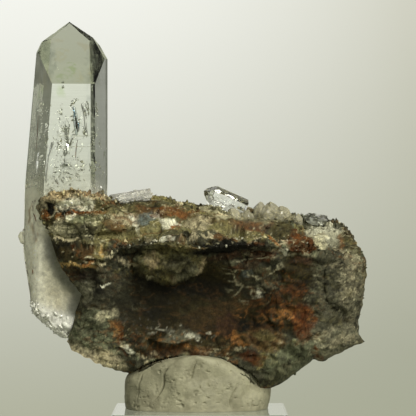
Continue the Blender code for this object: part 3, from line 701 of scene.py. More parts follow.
# Patches on the front: mineral, X, Z, half width, half height, tilt in degrees, strength
FRONT_PATCHES = (
    # the hollow and what hangs over it: its black patches, and the dark brown and dark grey over
    # the hollow, are partly the rock's colour and partly painted shade under the lip, the hanging
    # lump and the crust's edge
    ("dark brown", -2.0, 38.0, 21.0, 12.0, 0, 0.95), ("black", -4.0, 42.6, 15.0, 2.8, -8, 0.75),
    ("dark olive", 6.0, 38.0, 12.0, 3.0, 15, 0.45), ("brown", 4.0, 36.0, 9.0, 2.6, 18, 0.4),
    ("black", -14.0, 38.0, 7.0, 4.0, 20, 0.5), ("dark grey", -23.0, 40.0, 7.0, 8.0, 0, 0.9),
    ("black", -25.0, 42.0, 8.0, 5.0, -40, 0.35),
    ("dark brown", -19.0, 34.0, 7.0, 4.0, 0, 0.6), ("black", -27.5, 44.5, 4.0, 3.0, -40, 0.7),
    ("white", -23.0, 44.1, 1.7, 0.35, 8, 1.0),
    ("olive", -7.3, 48.8, 8.6, 5.2, 0, 0.9), ("dark grey", -5.5, 48.5, 3.6, 2.6, 0, 0.8),
    ("tan", -11.8, 49.5, 1.4, 2.6, 0, 0.8), ("pale", -12.8, 45.0, 0.7, 0.9, 0, 0.8),
    ("grey", -3.0, 46.0, 4.0, 1.6, 18, 0.7), ("tan", 0.2, 48.0, 1.0, 2.8, -30, 0.6),
    # painted shadow under the lip: the dark slit at the right, and fainter at the left
    ("black", 7.5, 52.3, 9.5, 1.7, 4, 1.0), ("black", -16.5, 52.0, 6.0, 1.2, -4, 0.3),
    # putty side
    ("grey", -5.0, 30.6, 4.6, 1.7, 14, 0.8), ("white", -2.6, 31.0, 1.6, 0.8, 10, 0.7),
    ("orange", -0.2, 31.8, 1.8, 0.4, -8, 0.8), ("deep rust", -5.0, 26.8, 8.0, 1.8, 4, 0.45),
    ("maroon", 6.8, 33.0, 3.4, 2.6, 20, 0.7), ("black", 12.2, 32.4, 3.6, 0.8, 12, 0.9),
    # crust round the crystal
    ("olive", -29.0, 60.0, 12.0, 7.0, 0, 0.5),
    ("tan", -32.0, 65.6, 8.8, 1.7, 0, 0.9), ("beige", -36.5, 63.8, 3.2, 1.5, 10, 0.9),
    ("white", -30.8, 63.2, 4.9, 1.9, 5, 0.9), ("grey", -31.6, 62.4, 1.6, 0.5, 20, 0.6),
    ("white", -27.4, 62.6, 1.6, 1.2, 30, 0.6), ("black", -37.2, 62.4, 1.0, 1.9, 10, 1.0),
    ("black", -32.4, 61.3, 4.4, 0.8, 0, 0.85), ("rust", -28.5, 60.6, 6.5, 1.0, 5, 0.95),
    ("rust", -38.6, 60.6, 0.8, 1.4, 30, 0.9), ("dark brown", -36.6, 59.4, 1.6, 1.4, 30, 0.8),
    ("orange", -35.2, 60.6, 0.9, 0.8, 0, 0.9), ("beige", -34.0, 59.3, 2.3, 1.2, 0, 0.9),
    ("white", -31.2, 59.6, 1.6, 0.6, 30, 0.8), ("grey green", -26.2, 59.2, 5.0, 1.4, 0, 0.8),
    ("grey", -34.2, 57.2, 2.6, 1.8, -10, 0.8), ("dark grey", -27.0, 56.2, 6.0, 1.8, 0, 0.85),
    ("black", -24.0, 57.0, 6.0, 0.5, 0, 0.6), ("beige", -33.0, 54.4, 3.8, 0.5, 0, 0.9),
    ("pale", -34.0, 56.6, 3.6, 1.3, -5, 0.6),
    ("dark brown", -30.5, 51.2, 6.8, 2.6, 0, 0.9), ("black", -33.0, 53.0, 3.6, 0.9, 0, 0.8),
    ("brown", -27.0, 51.4, 3.0, 1.8, 0, 0.8), ("gold", -31.0, 48.0, 5.2, 0.6, 0, 1.0),
    ("orange", -28.2, 48.6, 1.6, 0.6, 12, 0.9), ("olive", -24.6, 53.0, 1.6, 4.6, -12, 0.8),
    ("gold", -24.4, 51.6, 0.5, 1.6, -10, 0.8),
    # long slope
    ("olive", -2.0, 60.5, 26.0, 4.0, 3, 0.5), ("dark olive", -15.6, 63.4, 7.2, 1.6, -6, 0.8),
    ("beige", -18.6, 59.9, 3.6, 1.8, 0, 0.85), ("white", -16.2, 58.2, 0.7, 3.6, 28, 0.9),
    ("brown", -12.5, 61.3, 4.0, 1.6, 0, 0.9), ("blue grey", -13.2, 59.8, 3.2, 1.4, 10, 0.95),
    ("white", -10.4, 60.2, 0.9, 0.5, 30, 0.9), ("rust", -5.8, 61.6, 4.8, 1.1, -3, 0.8),
    ("deep rust", -10.0, 60.6, 1.6, 1.0, 0, 0.8), ("white", -7.2, 58.9, 3.0, 1.1, -12, 0.9),
    ("olive", -8.8, 56.6, 8.6, 1.6, 0, 0.8), ("brown", -21.0, 58.0, 2.4, 1.8, 0, 0.8),
    ("olive", -18.2, 55.4, 5.4, 1.3, 0, 0.9), ("beige", -0.6, 58.4, 4.2, 1.9, 5, 0.7),
    ("rust", -5.8, 57.8, 1.2, 0.6, 15, 0.9), ("dark grey", -7.0, 55.8, 2.2, 1.3, 0, 0.7),
    ("white", -8.0, 54.7, 3.4, 0.4, -3, 0.8), ("dark brown", 1.6, 63.0, 3.2, 1.0, 20, 0.9),
    ("pale", 5.6, 61.6, 6.2, 1.8, -12, 0.85), ("grey", 12.0, 59.8, 6.0, 1.0, 0, 0.5),
    ("maroon", 12.0, 58.2, 6.4, 1.4, 4, 0.55), ("olive", 5.0, 57.2, 3.6, 1.9, 0, 0.8),
    ("olive", 12.5, 55.6, 5.4, 1.3, 4, 0.9),
    # right end
    ("pale", 18.6, 61.4, 6.0, 1.6, -4, 0.85), ("grey", 17.0, 59.6, 5.0, 0.8, 0, 0.5),
    ("dark olive", 20.3, 56.6, 3.9, 2.2, -10, 1.0), ("deep rust", 25.0, 54.0, 3.6, 3.0, 0, 1.0),
    ("dark brown", 25.6, 54.0, 3.6, 3.0, 0, 0.35),
    ("rust", 24.6, 54.8, 1.8, 0.8, -10, 0.6), ("orange", 18.4, 54.0, 3.2, 0.35, -45, 0.9),
    ("grey", 31.2, 56.0, 5.0, 3.4, -10, 1.0), ("white", 31.0, 56.2, 4.0, 2.8, -10, 0.52),
    ("grey", 33.2, 54.6, 1.5, 1.8, 0, 0.6),
    ("pale", 29.4, 54.0, 2.2, 1.6, 0, 0.8), ("rust", 35.0, 53.6, 0.8, 1.4, 0, 0.6),
    ("dark olive", 38.2, 54.4, 2.6, 4.2, 25, 1.0), ("brown", 37.2, 56.0, 1.4, 1.8, 20, 0.6),
    ("pale", 38.9, 48.8, 2.6, 2.2, 0, 0.85), ("pale", 23.7, 51.0, 5.5, 0.4, -3, 0.6),
    ("white", 20.8, 51.6, 1.3, 0.6, -15, 1.0), ("maroon", 8.0, 50.2, 6.0, 0.9, 10, 0.6),
    ("deep rust", 13.4, 49.4, 7.0, 0.9, 22, 0.9), ("dark grey", 13.6, 45.0, 6.4, 5.4, 0, 0.8),
    ("blue grey", 11.4, 46.6, 1.8, 1.2, 35, 0.8), ("dark brown", 24.0, 45.4, 5.6, 5.8, 0, 0.95),
    ("maroon", 26.0, 49.0, 4.2, 1.3, 0, 0.6), ("deep rust", 23.4, 41.6, 2.8, 2.4, 0, 0.6),
    ("dark grey", 32.0, 42.0, 4.8, 12.0, -4, 0.95), ("grey", 32.0, 38.0, 2.6, 3.4, 0, 0.45),
    ("pale", 29.4, 44.6, 1.8, 0.5, -30, 0.7), ("black", 30.4, 43.6, 1.6, 0.7, -30, 0.8),
    ("beige", 38.0, 41.6, 3.6, 8.0, 4, 0.45), ("grey", 37.4, 36.0, 2.4, 4.0, 0, 0.6),
    ("black", 39.4, 35.2, 1.1, 3.4, -12, 0.9), ("white", 14.8, 41.8, 1.0, 1.2, -20, 1.0),
    ("brown", 15.0, 39.2, 3.4, 1.4, 10, 0.6), ("dark brown", 20.6, 36.6, 8.4, 4.6, 0, 0.9),
    ("deep rust", 25.6, 34.2, 2.7, 5.2, 4, 0.9), ("orange", 19.0, 36.6, 3.0, 0.7, -14, 0.55),
    ("black", 13.0, 33.0, 3.8, 1.4, -8, 0.95), ("brown", 16.2, 29.8, 4.8, 3.0, 0, 0.85),
    ("olive", 15.6, 30.8, 2.6, 1.4, 0, 0.6), ("orange", 9.8, 29.9, 2.3, 0.9, -30, 0.8),
    ("deep rust", 12.8, 25.0, 4.0, 2.0, -10, 0.85), ("grey green", 24.0, 23.6, 7.4, 6.0, 20, 0.9),
    ("dark olive", 20.4, 20.6, 3.0, 2.4, 40, 0.5), ("grey", 34.4, 28.6, 7.0, 4.0, 20, 0.85),
    ("rust", 29.4, 26.4, 0.5, 2.4, 35, 0.9), ("beige", 36.0, 29.4, 4.0, 1.2, 20, 0.7),
    # lower left
    ("grey green", -26.5, 32.0, 6.4, 5.6, 0, 0.95), ("pale", -22.8, 35.6, 3.4, 1.3, 8, 0.85),
    ("grey", -29.0, 41.6, 2.2, 3.4, -25, 0.9), ("rust", -19.4, 30.0, 0.8, 4.6, 22, 0.8),
    ("pale", -18.4, 28.2, 0.9, 1.0, 0, 0.8), ("orange", -21.4, 31.6, 1.2, 2.4, 15, 0.7),
    ("beige", -25.6, 25.8, 8.0, 2.2, -22, 0.85), ("brown", -30.2, 35.8, 1.2, 0.8, 0, 0.8),
    ("white", -17.0, 27.2, 1.8, 0.6, -15, 0.8), ("dark brown", -24.6, 37.6, 3.0, 0.7, -20, 0.8),
)

# Webs of veins on the front: mineral, X, Z, half width, half height, width of the web's gaps,
# width of its veins, strength
VEIN_ZONES = (
    ("pale", 13.6, 45.4, 7.4, 6.6, 3.6, 0.12, 0.85),
    ("rust", 15.4, 46.0, 8.0, 5.0, 3.4, 0.12, 0.6),
    ("orange", 21.0, 35.6, 7.0, 2.6, 2.4, 0.26, 0.65),
    ("rust", 21.0, 38.0, 9.0, 6.0, 3.0, 0.20, 0.6),
    ("orange", 12.6, 36.2, 4.4, 2.6, 2.6, 0.14, 0.5),
    ("black", 22.0, 42.0, 9.0, 9.0, 4.0, 0.12, 0.8),
    ("pale", 37.8, 42.0, 4.4, 11.0, 1.1, 0.55, 0.40),
    ("pale", 34.4, 28.6, 8.0, 4.6, 1.3, 0.45, 0.4),
    ("dark grey", 38.0, 44.0, 5.0, 12.0, 1.9, 0.45, 0.5),
    ("brown", -2.0, 38.0, 21.0, 11.0, 3.6, 0.10, 0.5),
    ("brown", 8.0, 36.0, 9.0, 8.0, 2.0, 0.30, 0.5),
    ("grey", -22.0, 41.0, 9.0, 7.0, 2.4, 0.16, 0.35),
    ("grey", 31.0, 40.0, 5.0, 11.0, 1.3, 0.40, 0.30),
    ("orange", -2.0, 29.6, 16.0, 2.4, 2.4, 0.14, 0.45),
    ("dark grey", 22.0, 23.0, 9.0, 6.0, 1.8, 0.30, 0.5),
    ("white", -4.0, 31.4, 8.0, 1.8, 2.6, 0.09, 0.5),
    ("dark grey", -24.0, 31.0, 9.0, 6.0, 2.2, 0.22, 0.7),
    ("beige", -23.0, 30.0, 9.0, 6.0, 3.0, 0.10, 0.4),
    ("rust", -20.0, 30.0, 8.0, 4.0, 3.0, 0.12, 0.5),
    ("grey", -7.3, 47.8, 8.4, 4.4, 2.2, 0.20, 0.5),
    ("black", -7.3, 47.8, 8.4, 4.4, 2.8, 0.14, 0.6),
)


def patch_share(points, patch):
    """Share of a patch at each point: an ellipse whose edge is frayed by noise."""
    _, centre_x, centre_z, half_x, half_z, tilt, strength = patch
    turn = math.radians(tilt)
    x, z = points[:, 0] - centre_x, points[:, 2] - centre_z
    across = x * math.cos(turn) + z * math.sin(turn)
    up = z * math.cos(turn) - x * math.sin(turn)
    away = np.sqrt((across / half_x) ** 2 + (up / half_z) ** 2)
    return strength * step_up(1.05 - away, -0.12, 0.30)


# Noises that fray painted edges: size and height in mm
FRAYS = ((4.0, 1.0), (1.5, 0.65), (0.6, 0.30))


def fray(points):
    """Points moved by noise of three sizes, so that painted edges follow ragged lines."""
    moved = points.copy()
    for size, height in FRAYS:
        for axis in (0, 2):
            moved[:, axis] += smooth_noise(points, size, 200 + axis + int(size * 10)) * height
    return moved


def veins(points, size, width, seed):
    """Share from 0 to 1 of thin wavy veins, which follow the zero lines of a noise."""
    level = np.abs(rough_noise(points * np.array((0.55, 0.8, 1.2)), size, seed, 3))
    return 1 - step_up(level, 0.0, width)


def blend(colours, other, share):
    """Colours moved towards another colour by a share for each point."""
    return colours * (1 - share[:, None]) + other * share[:, None]


# Mottled ground of the whole rock, over dark grey: mineral, and the seed of its patches
GROUND = (("olive", 310), ("brown", 320), ("grey green", 330), ("beige", 340),
          ("dark brown", 345))


def ground_colours(points):
    """Mottled ground, in which each mineral covers less of the ones before it."""
    flat = points * np.array((0.55, 1, 1.1))
    grit = rough_noise(points, 0.75, 350, 3)
    colours = linear(MINERALS["dark grey"]) * np.ones((len(points), 1))
    for level, (mineral, seed) in enumerate(GROUND):
        mottle = rough_noise(flat, 4.5 - level * 0.7, seed, 3) * 0.75 + grit * 0.45
        share = step_up(mottle, 0.10 + 0.08 * level, 0.42 + 0.08 * level)
        colours = blend(colours, linear(MINERALS[mineral]), share)
    return colours


def front_colours(colours, points, facing):
    """The front's patches, grainy but for the dark ones, then its webs of veins."""
    frayed = fray(points)
    grainy = 0.62 + 0.38 * step_up(rough_noise(points, 0.9, 360, 3), -0.45, 0.35)
    for patch in FRONT_PATCHES:
        share = patch_share(frayed, patch) * facing
        if patch[0] not in ("dark brown", "black"):
            share = share * grainy
        colours = blend(colours, linear(MINERALS[patch[0]]), share)
    for number, (mineral, *ellipse, gap, width, strength) in enumerate(VEIN_ZONES):
        share = patch_share(frayed, (mineral, *ellipse, 0, strength)) * facing
        share = share * veins(points, gap, width, 420 + 3 * number)
        colours = blend(colours, linear(MINERALS[mineral]), share)
    return colours


def rock_colours(points):
    """Mineral colour of each point: ground, the front's patches, long veins, then its grain,
    with painted shade under the lip, in the hollow and on the lower right end, and painted glints."""
    x, z = points[:, 0], points[:, 2]
    calm = smooth_cavity(points)
    facing = step_up(4.0 - points[:, 1], 0.0, 5.0)
    upper = step_up(z - curve(LIP_Z, x), -1.0, 1.0)
    colours = front_colours(ground_colours(points), points, facing)
    where = upper * 0.9 * (1 - calm) * facing
    patchy = step_up(rough_noise(points, 5.0, 370, 2), -0.1, 0.5)
    for mineral, gap, width, seed, share in (("pale", 5.0, 0.055, 380, where * patchy * 0.75),
                                             ("rust", 7.0, 0.09, 385, where * (1 - patchy) * 0.6),
                                             ("black", 4.0, 0.05, 390, (1 - calm) * 0.7)):
        colours = blend(colours, linear(MINERALS[mineral]), veins(points, gap, width, seed) * share)
    flecks = points * np.array((0.8, 1, 1.1)) / 0.34
    grain = lattice(np.floor(flecks + smooth_noise(points, 0.5, 395)[:, None] * 0.5), 401)
    layers = smooth_noise(points * np.array((0.12, 0.3, 1.0)), 0.9, 405)
    sunk = points @ GRAIN_TURN * np.array((0.22, 0.5, 1.0))
    value = 1 + 0.10 * upper + rough_noise(points, 0.9, 410, 3) * 0.36 + layers * 0.14 * upper
    value = value + rough_noise(sunk, 0.8, 415, 3) * 0.28 * (1 - upper)
    # Painted shade of the lip's overhang on the front below it, weaker towards the right
    lip_shade = step_up(curve(LIP_Z, x) - z, 0.0, 4.0) * step_up(z, 27.0, 33.0) * facing
    lip_shade = lip_shade * (1 - 0.5 * step_up(x, 18.0, 26.0))
    # Painted shade on the lower right end
    shaded_end = step_up(x, 27.0, 34.0) * step_up(52.0 - z, 0.0, 3.0) * facing
    # Painted shade darkens the front under the lip, in the hollow and at the lower right end
    value = value * (1 - 0.22 * lip_shade) * (1 - 0.24 * calm) * (1 - 0.36 * shaded_end)
    value = value * (1 - 0.38 * (grain < 0.16) * (1 - 0.4 * calm))
    value = value * (1 + 0.40 * (grain > 0.92) * (1 - 0.7 * calm))
    colours = colours * np.clip(value, 0.25, 2.4)[:, None]
    # Painted glints: a few points turned pale on the slope and at the right end, outside the hollow
    sparkling = np.maximum(upper, step_up(x, 32.0, 37.0)) * (1 - calm)
    spark = (grain > 0.975) * sparkling * 0.5
    return np.clip(blend(colours, linear(MINERALS["pale"]), spark), 0.0, 0.85)


# Materials

def new_material(name):
    """Empty node material, its shader and its node tree."""
    made = bpy.data.materials.new(name)
    made.use_nodes = True
    tree = made.node_tree
    return made, tree.nodes["Principled BSDF"], tree


def add(tree, kind, **settings):
    """New node with its settings."""
    node = tree.nodes.new(kind)
    for key, value in settings.items():
        setattr(node, key, value)
    return node


def object_noise(tree, scale, detail=4.0, roughness=0.6):
    """Noise on object coordinates, in lumps per metre."""
    where = add(tree, "ShaderNodeTexCoord")
    noise = add(tree, "ShaderNodeTexNoise")
    noise.inputs["Scale"].default_value = scale
    noise.inputs["Detail"].default_value = detail
    noise.inputs["Roughness"].default_value = roughness
    tree.links.new(where.outputs["Object"], noise.inputs["Vector"])
    return noise.outputs["Fac"]


def object_cells(tree, scale):
    """Cell pattern on object coordinates: distance to the middle and each cell's colour."""
    where = add(tree, "ShaderNodeTexCoord")
    cells = add(tree, "ShaderNodeTexVoronoi", feature="F1")
    cells.inputs["Scale"].default_value = scale
    tree.links.new(where.outputs["Object"], cells.inputs["Vector"])
    return cells


def remap(tree, value, low, high, to_low, to_high):
    """Range of a value stretched to another range."""
    node = add(tree, "ShaderNodeMapRange")
    for key, number in zip(("From Min", "From Max", "To Min", "To Max"),
                           (low, high, to_low, to_high)):
        node.inputs[key].default_value = number
    tree.links.new(value, node.inputs["Value"])
    return node.outputs["Result"]


def math_node(tree, operation, first, second):
    """Arithmetic of two values, either of which may be a number."""
    node = add(tree, "ShaderNodeMath", operation=operation)
    for slot_number, item in enumerate((first, second)):
        if isinstance(item, (int, float)):
            node.inputs[slot_number].default_value = item
        else:
            tree.links.new(item, node.inputs[slot_number])
    return node.outputs[0]


def bump(tree, shader, height, depth, strength=1.0):
    """Bump from a height value, its depth in metres."""
    node = add(tree, "ShaderNodeBump")
    node.inputs["Strength"].default_value = strength
    node.inputs["Distance"].default_value = depth
    tree.links.new(height, node.inputs["Height"])
    tree.links.new(node.outputs["Normal"], shader.inputs["Normal"])


def times(tree, colour, value):
    """A colour multiplied by a value."""
    mixed = add(tree, "ShaderNodeMix", data_type="RGBA", blend_type="MULTIPLY")
    mixed.inputs["Factor"].default_value = 1.0
    spread = add(tree, "ShaderNodeCombineColor")
    for channel in ("Red", "Green", "Blue"):
        tree.links.new(value, spread.inputs[channel])
    tree.links.new(colour, mixed.inputs["A"])
    tree.links.new(spread.outputs["Color"], mixed.inputs["B"])
    return mixed.outputs["Result"]


def tinted(tree, attribute, amount, scale):
    """A painted colour attribute, made lighter and darker by fine noise."""
    painted = add(tree, "ShaderNodeAttribute", attribute_name=attribute)
    lift = remap(tree, object_noise(tree, scale, 3.0), 0.3, 0.7, 1 - amount, 1 + amount)
    return times(tree, painted.outputs["Color"], lift)


def rock_material():
    """Rough mineral ground with fine grain, and cells of quartz that catch the light."""
    made, shader, tree = new_material("matrix_stone_look")
    tree.links.new(tinted(tree, "mineral", 0.42, 3300.0), shader.inputs["Base Color"])
    cells = object_cells(tree, 2100.0)
    glint = add(tree, "ShaderNodeSeparateColor")
    tree.links.new(cells.outputs["Color"], glint.inputs["Color"])
    gloss = remap(tree, glint.outputs["Red"], 0.88, 0.99, 0.78, 0.22)
    tree.links.new(gloss, shader.inputs["Roughness"])
    grit = object_noise(tree, 3600.0, 5.0, 0.7)
    height = math_node(tree, "ADD", math_node(tree, "MULTIPLY", glint.outputs["Green"], 0.6),
                       grit)
    bump(tree, shader, height, 0.00012)
    shader.inputs["Specular IOR Level"].default_value = 0.14
    return made


# Height of the frosted part's lumps, as a multiple of the growth grooves
LUMP_TO_GROOVE = 110.0
QUARTZ_IOR = 1.544
WATER_IOR = 1.333
QUARTZ_TINT = (0.97, 0.985, 0.955)
# Linear colour that deep quartz takes on
QUARTZ_DEPTH_TONE = (0.80, 0.83, 0.70)
# Growth grooves run level: noise lumps per metre along X, Y and Z
GROOVE_LUMPS = (60.0, 60.0, 1500.0)


def quartz_material(name, tint, haze, fog, grooves, clearness=1.0, painted=False):
    """Clear quartz: plain transmission and IOR, roughness from haze up, absorption by fog for
    each metre, and growth grooves of a depth. A painted one also turns rough, lumpy and partly
    diffuse with its painted frost."""
    made, shader, tree = new_material(name)
    shader.inputs["Base Color"].default_value = (*tint, 1.0)
    shader.inputs["Transmission Weight"].default_value = clearness
    shader.inputs["IOR"].default_value = QUARTZ_IOR
    rough = remap(tree, object_noise(tree, 900.0, 5.0), 0.52, 0.70, haze, haze + 0.10)
    where = add(tree, "ShaderNodeTexCoord")
    turn = add(tree, "ShaderNodeMapping")
    turn.inputs["Scale"].default_value = GROOVE_LUMPS
    noise = add(tree, "ShaderNodeTexNoise")
    noise.inputs["Scale"].default_value = 1.0
    noise.inputs["Detail"].default_value = 3.0
    tree.links.new(where.outputs["Object"], turn.inputs["Vector"])
    tree.links.new(turn.outputs["Vector"], noise.inputs["Vector"])
    height = noise.outputs["Fac"]
    if painted:
        frost = add(tree, "ShaderNodeAttribute", attribute_name="frost").outputs["Fac"]
        rough = math_node(tree, "ADD", rough, frost)
        stain_and_shading = add(tree, "ShaderNodeAttribute", attribute_name="stain_and_shading")
        speckle = remap(tree, object_noise(tree, 1000.0, 6.0, 0.7), 0.3, 0.7, -0.75, 0.75)
        lift = math_node(tree, "ADD", math_node(tree, "MULTIPLY", frost, speckle), 1.0)
        colour = times(tree, stain_and_shading.outputs["Color"], lift)
        tree.links.new(colour, shader.inputs["Base Color"])
        clear = remap(tree, frost, 0.10, 0.60, 1.0, 0.45)
        tree.links.new(clear, shader.inputs["Transmission Weight"])
        frosted = math_node(tree, "POWER", frost, 3.0)
        lumps = math_node(tree, "MULTIPLY", object_noise(tree, 330.0, 6.0, 0.68),
                          math_node(tree, "MULTIPLY", frosted, LUMP_TO_GROOVE))
        height = math_node(tree, "ADD", height, lumps)
    tree.links.new(rough, shader.inputs["Roughness"])
    bump(tree, shader, height, grooves, 0.5)
    depth = add(tree, "ShaderNodeVolumeAbsorption")
    depth.inputs["Color"].default_value = (*QUARTZ_DEPTH_TONE, 1.0)
    depth.inputs["Density"].default_value = fog
    tree.links.new(depth.outputs["Volume"], tree.nodes["Material Output"].inputs["Volume"])
    return made


def plain_material(name, colour, roughness, **values):
    """Even finish: display colour, roughness, and other values by their sockets' names."""
    made, shader, _ = new_material(name)
    shader.inputs["Base Color"].default_value = (*linear(colour), 1.0)
    shader.inputs["Roughness"].default_value = roughness
    for key, value in values.items():
        shader.inputs[key.replace("_", " ")].default_value = value
    return made


def putty_material():
    """Dull kneaded putty: painted tone, fine grit and pits."""
    made, shader, tree = new_material("mineral_putty_look")
    tree.links.new(tinted(tree, "kneaded", 0.10, 1400.0), shader.inputs["Base Color"])
    shader.inputs["Roughness"].default_value = 0.62
    shader.inputs["Specular IOR Level"].default_value = 0.35
    grit = object_noise(tree, 2600.0, 5.0, 0.6)
    pits = remap(tree, object_cells(tree, 420.0).outputs["Distance"], 0.0, 0.10, 0.0, 1.0)
    height = math_node(tree, "ADD", math_node(tree, "MULTIPLY", grit, 0.6), pits)
    bump(tree, shader, height, 0.00014, 1.0)
    return made


# Putty

PUTTY_CENTRE = (-1.1, 1.0)
PUTTY_HALF_WIDTH = 18.3
PUTTY_HALF_DEPTH = 16.0
PUTTY_HEIGHT = 13.8
# Height share of the widest ring, and width share of the foot
PUTTY_WIDEST = 0.32
PUTTY_FOOT = 0.93
# Power that makes the rings squarish: the lower, the flatter the front
PUTTY_SQUARENESS = 0.67
# Share of the half depth, before that power, that the front and back walls keep
PUTTY_WALL = 0.5
# How late the lump draws in towards its top, and how late its seat in the rock does
PUTTY_CROWN = 2.6
SEAT_SHOULDER = 8.0
# Share of the height over which the sheet runs on to its middle line, to close it
PUTTY_CLOSING = 0.06
BLOCK_TOP = 12.0
# Display tones of the putty, and of the smears on it
PUTTY_TONE = (151, 148, 123)
SMEAR_TONE = (98, 94, 72)
# Finger dents: compass angle, height share, half width in degrees, half height, depth in mm
DENTS = (
    (-120, 0.45, 16, 0.30, 0.9), (-75, 0.62, 22, 0.18, 0.5), (-40, 0.35, 14, 0.25, 0.7),
    (-150, 0.30, 14, 0.22, 0.8), (-98, 0.25, 10, 0.12, 0.35), (-20, 0.55, 12, 0.20, 0.5),
    (30, 0.40, 25, 0.30, 0.8), (95, 0.50, 22, 0.25, 0.8), (150, 0.40, 18, 0.30, 0.7),
)
# Creases: compass angle at the foot and at the top, height shares, half width, depth in mm
CREASES = (
    (-128, -112, 0.15, 0.85, 0.9, 0.55), (-60, -52, 0.05, 0.55, 0.7, 0.40),
    (-96, -88, 0.55, 0.95, 0.8, 0.35), (-142, -150, 0.1, 0.7, 0.9, 0.45),
    (-30, -38, 0.3, 0.9, 0.8, 0.4), (20, 34, 0.1, 0.8, 1.0, 0.5), (110, 98, 0.1, 0.9, 1.0, 0.5),
)


def putty_rise(height):
    """Share of the way from the putty's widest ring to its top, 0 below that ring."""
    return np.clip(height - PUTTY_WIDEST, 0, None) / (1 - PUTTY_WIDEST)


def putty_press(degrees, height):
    """How far the putty's wall is pressed in, in mm, by its finger dents and its creases."""
    press = np.zeros_like(height)
    for compass, centre, half_angle, half_height, deep in DENTS:
        away = ((degrees - compass) / half_angle) ** 2 + ((height - centre) / half_height) ** 2
        press = press + 1.5 * deep * np.exp(-away * 1.5)
    for foot, top, low, high, half_angle, deep in CREASES:
        line = foot + (top - foot) * height + 2.5 * np.sin(height * 9 + foot)
        fold = np.exp(-((degrees - line) / half_angle) ** 2)
        ends = step_up(height, low, low + 0.15) * (1 - step_up(height, high - 0.15, high))
        press = press + 1.6 * deep * fold * ends
    return press


def putty_surface(columns, rows):
    """Pressed lump: compass angle by height share; each ring's half width falls off as a
    power of its height above the widest ring, its walls less the finger dents and creases."""
    angle = np.linspace(-math.pi, math.pi, columns, endpoint=False)[:, None]
    part = np.linspace(-PUTTY_CLOSING, 1 + PUTTY_CLOSING, rows + 1)[None, :]
    height = np.clip(part, 0, 1) + 0 * angle
    sink = np.clip(PUTTY_WIDEST - height, 0, None) / PUTTY_WIDEST
    closing = 1 - np.clip(-part, 0, None) / PUTTY_CLOSING
    closing = closing * (1 - np.clip(part - 1, 0, None) / PUTTY_CLOSING)
    spread = np.clip(1 - putty_rise(height) ** PUTTY_CROWN, 0, None) * closing
    spread = spread * (1 - (1 - PUTTY_FOOT) * sink ** 2)
    depth = np.sign(np.sin(angle)) * np.abs(np.sin(angle)) ** PUTTY_SQUARENESS
    dent = 1 + 0.025 * np.sin(3 * angle + 0.6) + 0.018 * np.sin(7 * angle + height * 4)
    press = putty_press(np.degrees(angle), height)
    edge = np.minimum(step_up(height, 0.0, 0.08), 1 - step_up(height, 0.92, 1.0))
    across = np.cos(angle) * spread ** 0.5 * dent
    inward = depth * PUTTY_WALL ** (PUTTY_SQUARENESS / 2) * dent
    x = PUTTY_CENTRE[0] + across * (PUTTY_HALF_WIDTH - press * edge)
    y = PUTTY_CENTRE[1] + inward * (PUTTY_HALF_DEPTH - press * edge)
    z = BLOCK_TOP + 0.05 + height * PUTTY_HEIGHT
    points = np.stack([x, y, z], axis=-1)
    lumps = rough_noise(points, 5.0, 500, 3) * 0.24 + rough_noise(points, 0.9, 520, 2) * 0.05
    pits = step_up(rough_noise(points, 1.1, 530, 2), 0.62, 0.95) * 0.32
    scrape = np.abs(rough_noise(points * np.array((1, 1, 0.35)), 2.4, 535, 3))
    lumps = lumps - pits - (1 - step_up(scrape, 0.0, 0.07)) * 0.16
    out = unit(points - np.array((*PUTTY_CENTRE, BLOCK_TOP + 4.0)))
    return points + out * (lumps * edge)[..., None]


def putty_piece():
    """The putty lump, painted in soft patches with darker smears."""
    columns, rows = ((420, 150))
    points = putty_surface(columns, rows)
    mesh = weld(make_mesh("putty_lump", points.reshape(-1, 3),
                          grid_quads(columns, rows, wrap=True)))
    where = mesh_points(mesh)
    tone = 0.86 + 0.10 * rough_noise(where, 6.0, 540, 3) + 0.08 * rough_noise(where, 1.2, 550, 2)
    colours = linear(PUTTY_TONE) * np.ones((len(where), 1)) * tone[:, None]
    smear = step_up(rough_noise(where, 3.0, 560, 3), 0.25, 0.6)[:, None]
    colours = colours * (1 - 0.35 * smear) + linear(SMEAR_TONE) * 0.35 * smear
    paint(mesh, "kneaded", colours)
    shade(mesh, 60)
    piece("putty_lump", mesh, putty_material(), ("putty_mount",))


# Tall crystal

# Radius of the eased lower edges
EASED_RADIUS = 2.2
# Heights up to which the foot is broken and the crystal milky, and where the tip starts
BROKEN_Z = 38.0
MILK_Z = 76.0
TIP_Z = 91.0
# Middle of the tip's front face in X, and the width of the band beside the rock that painted shade
# darkens
TIP_X = -32.4
GLASSY_SHADE_WIDTH = 4.4


def ease_edges(points, planes, radius):
    """Shift that rounds a solid's edges: inwards by a parabola of the nearness of each plane
    beyond the point's own, less where the two planes hardly turn."""
    depth = planes[:, 3] - points @ planes[:, :3].T
    own = planes[np.argmin(depth, axis=1), :3]
    near = np.clip(radius - depth, 0, None) ** 2
    turned = near * (1 - own @ planes[:, :3].T)
    inward = near @ planes[:, :3]
    inward /= np.maximum(np.linalg.norm(inward, axis=1, keepdims=True), 1e-9)
    return -inward * (turned.sum(axis=1) / (2 * radius))[:, None]


